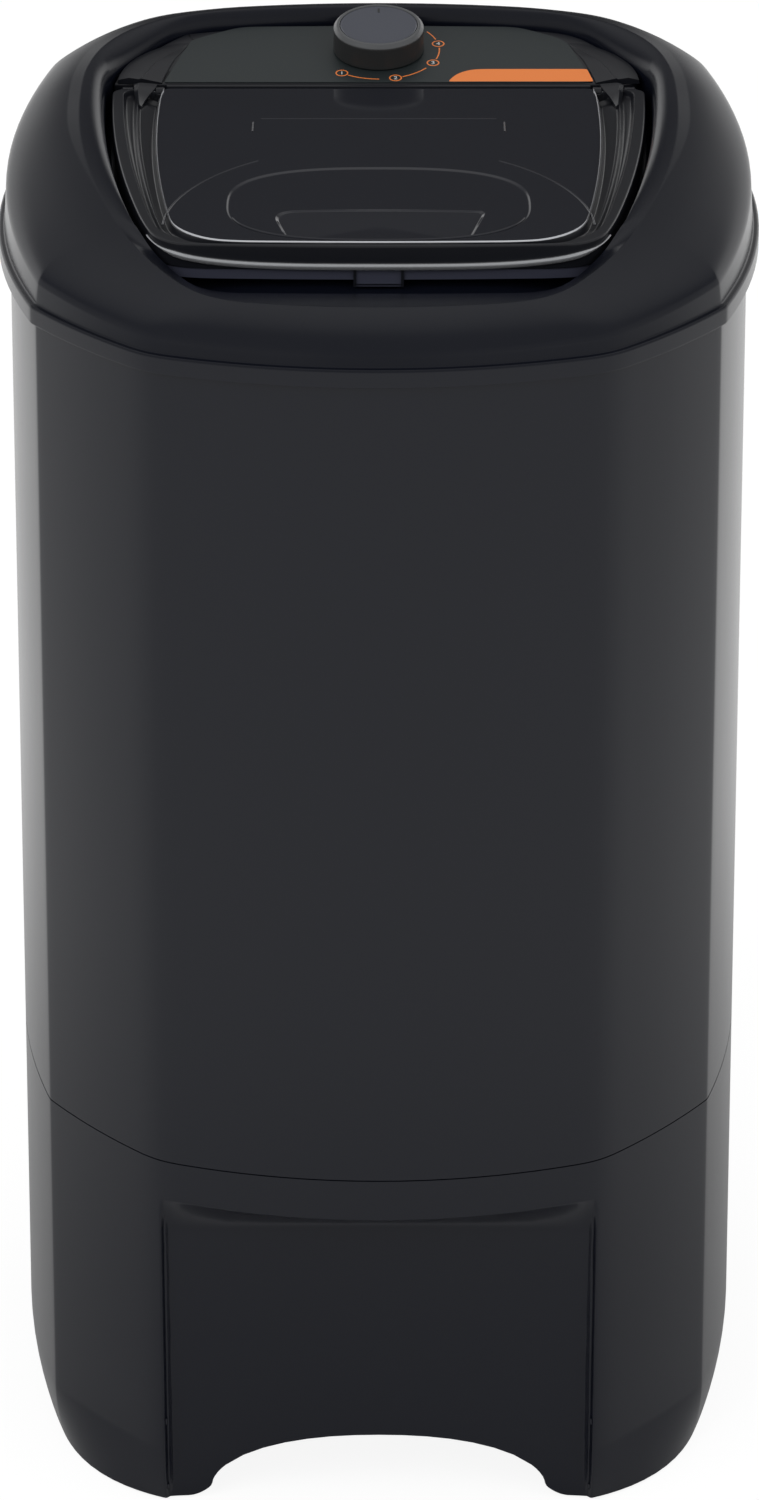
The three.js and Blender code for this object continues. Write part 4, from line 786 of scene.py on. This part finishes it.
def frame_ring(loop, below):
    return at(loop, lid_height(loop[:, 1]) - below)


rim = np.minimum(6.4, band_width * 0.42)
middle_ridge = rim + (band_width - rim) * 0.42
deep = smooth(band_width, 7, 20)     # the channel is full where the band is wide, and gone in front
profile = ((rim, -0.1), (rim + 0.7, -0.1), (rim + 2.0, 3.4 * deep), (middle_ridge - 2.6 * deep, 4.4 * deep),
           (middle_ridge, 2.4 * deep), (middle_ridge + 1.5 * deep, 4.8 * deep),
           (band_width - 2.0, 5.2 * deep), (band_width - 0.6, 0.3 * deep))
frame_rings = [frame_ring(pane_loop, frame_depth), frame_ring(lid_loop, frame_depth), frame_ring(lid_loop, 0),
               *[frame_ring(across_band(distance), below) for distance, below in profile],
               frame_ring(pane_loop, 0.2), frame_ring(pane_loop, 2.0)]
rear_drop = 3.8                      # the band lies lower at the rear, where the window laps over it
for ring, low, high in [(frame_rings[2], 114, 116.4)] + [(ring, 101, 106) for ring in frame_rings[3:]]:
    ring[:, 2] -= rear_drop * smooth(ring[:, 1], low, high) * (1 - smooth(np.abs(ring[:, 0]), 131, 139))
frame_skin = rounded(frame_rings, (0.8, 1.3, 0.4, 0.4, 1.2, 1.6, 0.5, 0.8, 1.0, 0.5, 0.3))
lid_skins = [skin(frame_skin, rows_close=True)]
bar_half, bar_front, bar_step, bar_rear = 127.6, 115.6, 121.9, 124.3
bar_y, bar_z = np.array([
    (bar_front, -7), (bar_rear - 0.6, -7), (bar_rear, -6.4), (bar_rear, -0.7), (bar_rear - 0.6, -0.1),
    (bar_step + 0.4, -0.1), (bar_step, -0.4), (bar_step, -4), (bar_front, -4)]).T
bar = [np.column_stack([np.full(len(bar_y), x), bar_y, lid_height(bar_y) + bar_z])
       for x in np.linspace(-bar_half, bar_half, 9)]
lid_skins.append(skin(bar, capped=True))
for side in (-1, 1):
    middle = side * 141
    lid_skins += [on_hinge(middle, 6),
                  block(middle - 6, middle + 6, lid_rear - 3, hinge_y, hinge_z - knuckle, hinge_z + 2)]
make_piece("lid_frame", lid_skins, lid_black, "lid", crease=45)

# ------------------------ hinge ears
# At the lid's rear corners two wedge-shaped ears, moulded in one with its frame, widen it to
# the hinges. Each is a bent top face with a short skirt under its edges.
ear_lines = [[(147.4, 122.6, 1.0), (147.2, 117.5, 0.9), (146.2, 108, -1.6), (144.4, 96, -3.0)],
             [(144.2, 122.6, 1.7), (144.6, 117.5, 1.6), (144.4, 108, 0.8), (143.4, 96, -2.0)],
             [(143.4, 122.6, 1.8), (143.8, 117.5, 1.7), (143.7, 108, 0.9), (143.1, 96, -1.9)],
             [(133.2, 122.6, 0.9), (134.6, 117.5, 0.2), (138.8, 108, -1.8), (142.0, 96, -3.2)]]
for side, name in both_sides:
    top = np.array([swept(line, 14) for line in ear_lines]) * (side, 1, 1)
    low = top[[0, -1]] - (0, 0, 1.6)
    ring = np.concatenate([low[:1], top, low[1:]])
    ring[..., 2] += lid_height(ring[..., 1])
    ear = skin(np.moveaxis(ring, 0, 1), capped=True)
    make_piece(f"hinge_ear_{name}", [ear], lid_black, "lid", (), crease=22)

# ------------------------ lid window
# The window is one dark smoked moulding set into the frame. A shallow stadium and a scooped
# finger recess are pressed into it, with a bracketed line and an arc standing off its face,
# and its skirt hangs below the frame in front.
smoked_plastic = finish("smoked_plastic", (0.0158, 0.0168, 0.0222), 0.1, ior=1.46, scale=60, variation=0.1,
                        bump=0.01)
window_edge = inset(pane_loop, 0.3)
lapped = smooth(window_edge[:, 1], 97, 111)
wider = window_edge[:, 0] * 0.022 * smooth(window_edge[:, 1], 106, 111)
window_brim = window_edge + np.column_stack([wider, 9.6 * lapped])
window_centre = np.array([0.0, -92.0])
bearing = np.arctan2(*(window_brim - window_centre).T[::-1])


def seen_from_centre(loop):
    """Another loop's points in the directions of the window's own."""
    arm = np.stack([np.cos(bearing), np.sin(bearing)], 1)
    return window_centre + arm * radius_at(loop, window_centre, bearing)[:, None]


stadium_centre = (0.0, -63.5)
stadium = seen_from_centre(super_loop(circle(stadium_centre, 1, 720), stadium_centre, 85.5, 54.5, 2.7))
scoop_rear, scoop_front = -73.0, -118.5
scoop = seen_from_centre(bowed_loop(
    [(-50, scoop_front), (50, scoop_front), (61, scoop_rear), (-61, scoop_rear)], (4, 0, 1.5, 0),
    (16, 5, 5, 16), (24, 20, 30, 20)))
sunk = 1.2


def window_ring(loop, below=0.0, toward=0.0):
    """A ring on the window, shrunk towards its centre by a share and lowered from its face."""
    return frame_ring(loop + (window_centre - loop) * toward, sunk + below)


def scooped(toward):
    """A ring on the scoop's floor, which falls from a small step at its rear towards the front."""
    ring = window_ring(scoop, 0.0, toward)
    fall = (scoop_rear - ring[:, 1]) / (scoop_rear - scoop_front)
    ring[:, 2] -= 1.3 + 1.5 * np.clip(fall, 0, 1) * (1 - smooth(fall, 0.86, 1.04))
    return ring


skirt_loop = inset(lid_loop, 3)
frame_foot = lid_height(lid_loop[:, 1]) - frame_depth
pane_under = inset(pane_loop, 3.3)
window_rings = [
    window_ring(pane_under, 3.4, 1.0), window_ring(pane_under, 3.2), at(pane_under, seat_z + gap),
    at(skirt_loop, seat_z + gap), at(skirt_loop, frame_foot - gap), at(window_edge, frame_foot - gap),
    window_ring(window_edge, 2.1), window_ring(window_brim, 2.1 - 0.2 * lapped), window_ring(window_brim),
    window_ring(window_brim, 0, 0.03), window_ring(stadium + unit(stadium - window_centre) * 1.8),
    window_ring(stadium, 0.6), window_ring(scoop + (stadium - scoop) * 0.5, 0.6),
    window_ring(scoop + unit(scoop - window_centre) * 0.8, 0.6),
    *[scooped(share) for share in (0.02, 0.12, 0.5, 1)]]
window_skin = rounded(window_rings, (1, 0.6, 0.8, 1, 0.4, 0.3, 0.3, 0.8, 0, 0.5, 0.8, 0, 0.4, 0.5, 0, 0))


def rib(path, width, height):
    """A low rib of half-round section along a path on the window's face."""
    path = np.asarray(path, float)
    tangent = unit(np.gradient(path, axis=0))
    normal = np.stack([tangent[:, 1], -tangent[:, 0]], 1)
    turn = np.linspace(0, np.pi, 7)
    section = np.stack([np.cos(turn) * width / 2, np.sin(turn) * height], 1)
    section = np.concatenate([section, [(-width / 2, -0.3), (width / 2, -0.3)]])
    flat = path[:, None, :] + section[None, :, :1] * normal[:, None, :]
    z = lid_height(flat[..., 1]) - sunk + section[None, :, 1]
    return skin(np.concatenate([flat, z[..., None]], -1), capped=True)


def part_of_loop(inside):
    """The places of a loop's points that lie inside, in the loop's order and in one run."""
    places = np.nonzero(inside)[0]
    return np.roll(places, -1 - int(np.argmax(np.diff(places))))


line_path = np.column_stack([np.linspace(-70, 70, 40), np.full(40, 70.0)])
turn = np.radians(np.linspace(125, 178, 60))
sweep_x, sweep_y = 122.5 * np.cos(turn), 125 * np.sin(turn) - 100
window_parts = [skin(window_skin), rib(line_path, 1.1, 0.5)]
for side in (-1, 1):
    window_parts += [rib([(side * 74.5, y) for y in (49.5, 57, 64.5)], 1.0, 0.45),
                     rib(np.column_stack([-side * sweep_x, sweep_y]), 1.3, 0.55)]
window_parts.append(rib(stadium[part_of_loop(stadium[:, 1] < -84)], 1.3, 0.8))
make_piece("lid_window", window_parts, smoked_plastic, "lid", crease=40)

# ------------------------ window bead
# A bright bead lies in the joint between window and frame, a pale strip that paints in the
# highlight along the window's edge; it is widest in front and ends at the hinges.
# Its pale silver is a painted highlight.
painted_highlight_bead = finish("painted_highlight_bead", (0.56, 0.57, 0.6), 0.26, 0.2, scale=300, variation=0.1, bump=0.02)
front_share = 1 - smooth(window_brim[:, 1], -117, -84)
bead_outside = inset(window_brim, -(0.1 + 0.25 * front_share)[:, None])
bead_inside = inset(window_brim, (0.2 + 1.5 * front_share)[:, None])
bead_rings = np.array([frame_ring(bead_outside, 1.6), frame_ring(bead_outside, 0.1 + 0.5 * front_share),
                       frame_ring(bead_inside, 0.6 - 0.5 * front_share), frame_ring(bead_inside, 1.3)])
bead = np.moveaxis(bead_rings[:, part_of_loop(window_brim[:, 1] < 118)], 0, 1)
make_piece("window_bead", [skin(bead, capped=True)], painted_highlight_bead, "lid", ())

# ------------------------ lid trim
# A satin silver strip runs round the lid's front, a painted reflection of the white light on the
# lid's rounded front edge, and it thins out as it climbs at its ends.
trim_silver = finish("trim_silver", (0.5, 0.51, 0.53), 0.24, 0.75, scale=300, variation=0.08, bump=0.02,
                     stretch=(0.1, 1, 1))
starts = np.concatenate([[0], np.cumsum(stretch_steps)])
run = np.r_[starts[7]:starts[8], 0:starts[2] + 1]    # the front with both its corner faces
trim_path = inset(lid_loop, -gap)[run]
trim_out = unit(inset(lid_loop, -1)[run] - lid_loop[run])
climb = 782.8 + 6.5 * (np.abs(trim_path[:, 0]) / 118) ** 4
taper = 1 - 0.9 * smooth(np.abs(trim_path[:, 0]), 112, 127)
trim_half = 1.9
section = ((0, 0), (1.1, 0), (1.7, 0.6), (1.9, 1.8), (1.7, 3.1), (1.1, 3.8), (0, 3.8))
trim_grid = np.stack([np.column_stack([trim_path + trim_out * a * (0.5 + 0.5 * taper[:, None]),
                                       climb + trim_half + (b - trim_half) * taper]) for a, b in section], 1)
make_piece("lid_trim", [skin(trim_grid, capped=True)], trim_silver, "lid", crease=50)

# ------------------------ window skirt
# The window's skirt shows under the strip as a blue-grey band, lightened as a painted reflection.
# It belongs to the window's moulding and is drawn as a thin strip on the skirt's face.
# Its blue-grey is lighter than the smoked window: a painted reflection of bluish light.
blue_grey_and_painted_reflection = finish("blue_grey_and_painted_reflection", (0.05, 0.053, 0.078), 0.4, scale=500, variation=0.1, bump=0.02)
skirt_path = inset(lid_loop, 1.9)[run]
skirt_grid = np.stack([at(skirt_path + trim_out * a, b)
                       for a, b in ((0, 776.4), (0.9, 776.4), (0.9, 782.2), (0, 782.2))], 1)
make_piece("window_skirt", [skin(skirt_grid, capped=True)], blue_grey_and_painted_reflection, "lid", ())

# ------------------------ lid latch
# A blue-grey plate under the lid's front catches the cover. It stands between two small black
# posts, and two short grey marks on the lid's edge show where it is.
latch_face, latch_half = -128.8, 13.0
# The plate shares the skirt's lightened blue-grey, painted reflection and all.
make_piece("lid_latch", [block(-latch_half, latch_half, latch_face, latch_face + 1.4, 773, 782),
                         block(-latch_half, latch_half, latch_face, latch_face + 3.4, 772.4, 773.8)],
           blue_grey_and_painted_reflection, "lid", crease=25)
make_piece("latch_posts", [block(x - 0.8, x + 0.8, latch_face - 0.9, latch_face + 1.6, 772.4, 782.3)
                           for x in (-13.4, 13.4)], lid_black, "lid", (), crease=25)
make_piece("latch_marks", [block(x - 0.45, x + 0.45, lid_front - 0.75, lid_front + 1, 788.6, 795)
                           for x in (-13.8, 13.8)], grey_and_painted_highlight, "lid", ())

# ------------------------ tub
# The tub is a grey drum moulded in polypropylene. A turned-out flange at its top rests on the
# cabinet, and a collar in its floor holds the seal round the shaft.
tub_grey = finish("tub_grey", (0.46, 0.48, 0.49), 0.42, scale=400, variation=0.08, bump=0.05)
tub_floor = 262.0
flange_z = cabinet_top + gap
make_piece("tub", [turned(
    [(34, tub_floor), (184, tub_floor), (192, tub_floor + 8), (192, flange_z), (198, flange_z),
     (198, flange_z + 3), (189.5, flange_z + 3), (189.5, tub_floor + 9), (183, tub_floor + 2.5),
     (36.5, tub_floor + 2.5), (36.5, tub_floor + 16), (34, tub_floor + 16)], sides=128,
    reaches=(6, 6, 1, 0.8, 0.8, 2, 6, 6, 3, 0.8), closed=True)], tub_grey)

# ------------------------ basket
# The basket is drawn from thin stainless sheet with rows of round holes, rolled in at the
# mouth under a grey balance ring, and clamped on the shaft by a plastic nut.
basket_steel = finish("basket_steel", (0.55, 0.56, 0.57), 0.3, 1.0, scale=260, variation=0.12, bump=0.05,
                      stretch=(1, 1, 0.06))
hole_rows, hole_count, hole_radius = 13, 36, 4.0
basket_low, basket_high, foot_radius, top_radius = 308.0, 700.0, 150.0, 166.0
wall_radius = (foot_radius + top_radius) / 2
k = np.arange(8)
ring_in = circle((0, 0), 1, 8)                       # each cell is a square with a round hole in it
ring_out = np.round(ring_in)
cell_w, cell_h = 2 * np.pi / hole_count, (basket_high - basket_low) / hole_rows
i, j = np.divmod(np.arange(hole_rows * hole_count), hole_count)
centre_turn, centre_z = (j[:, None] + 0.5) * cell_w, basket_low + (i[:, None] + 0.5) * cell_h


def on_wall(angle, z):
    """A point of the basket's conical wall from its bearing and height."""
    radius = foot_radius + (top_radius - foot_radius) * (z - basket_low) / (basket_high - basket_low)
    return np.stack([radius * np.cos(angle), radius * np.sin(angle), z], -1)


outer_points = on_wall(centre_turn + ring_out[:, 0] * cell_w / 2, centre_z + ring_out[:, 1] * cell_h / 2)
inner_points = on_wall(centre_turn + ring_in[:, 0] * hole_radius / wall_radius,
                       centre_z + ring_in[:, 1] * hole_radius)
cells = np.concatenate([outer_points, inner_points], 1)
first = np.arange(len(cells))[:, None, None] * 16
wall_faces = (first + np.stack([k, (k + 1) % 8, 8 + (k + 1) % 8, 8 + k], 1)[None]).reshape(-1, 4).tolist()
columns = 2 * hole_count
floor_part = turned([(8.4, 306), (40, 306), (58, 296), (138, 296), (foot_radius, basket_low)], sides=columns,
                    reaches=(4, 4, 8))
shoulder = turned([(top_radius, basket_high), (top_radius - 1, 709), (158, 716), (128, 716)], sides=columns,
                  reaches=(3, 3))
basket = make_piece("basket", [(cells.reshape(-1, 3), wall_faces), floor_part, shoulder], basket_steel,
                    "spinner", ("basket", "basket_rim"), crease=60)
work = bmesh.new()
work.from_mesh(basket.data)
bmesh.ops.recalc_face_normals(work, faces=work.faces)
work.to_mesh(basket.data)
work.free()
sheet = basket.modifiers.new("sheet", "SOLIDIFY")
sheet.thickness = 0.0008
basket.modifiers.move(1, 0)
make_piece("basket_ring", [turned(
    [(129, 716.3), (158, 716.3), (158, 727), (155, 730), (133, 730), (129, 726)], sides=128,
    reaches=(1, 2, 2, 2.5), closed=True)], tub_grey, "spinner")
make_piece("basket_nut", [turned(
    [(0, 339.2), (12, 337), (24, 315), (26, 307.1), (8.4, 307.1), (8.4, 322.3), (0, 322.3)],
    reaches=(3, 5, 2, 0.5, 0.5))], tub_grey, "spinner")

# ------------------------ works inside
# Everything else keeps the solid it has: the motor in its two painted shells, the mounts,
# the brake, the switch and the wiring, each in the metal, rubber or plastic of its slot.
finish("motor_grey", (0.16, 0.175, 0.19), 0.5, 0.5, scale=300, variation=0.25, bump=0.15)
finish("winding_copper", (0.42, 0.13, 0.035), 0.38, 0.9, scale=220, variation=0.3, bump=0.5,
       stretch=(1, 1, 8))
finish("white_plastic", (0.68, 0.69, 0.66), 0.5, scale=500, variation=0.06, bump=0.05)
for name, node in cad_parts.items():
    if name not in stood_for:
        material = bpy.data.materials[node.data.materials[0].name.removeprefix("frame_")]
        node.data.materials.clear()
        node.data.materials.append(material)
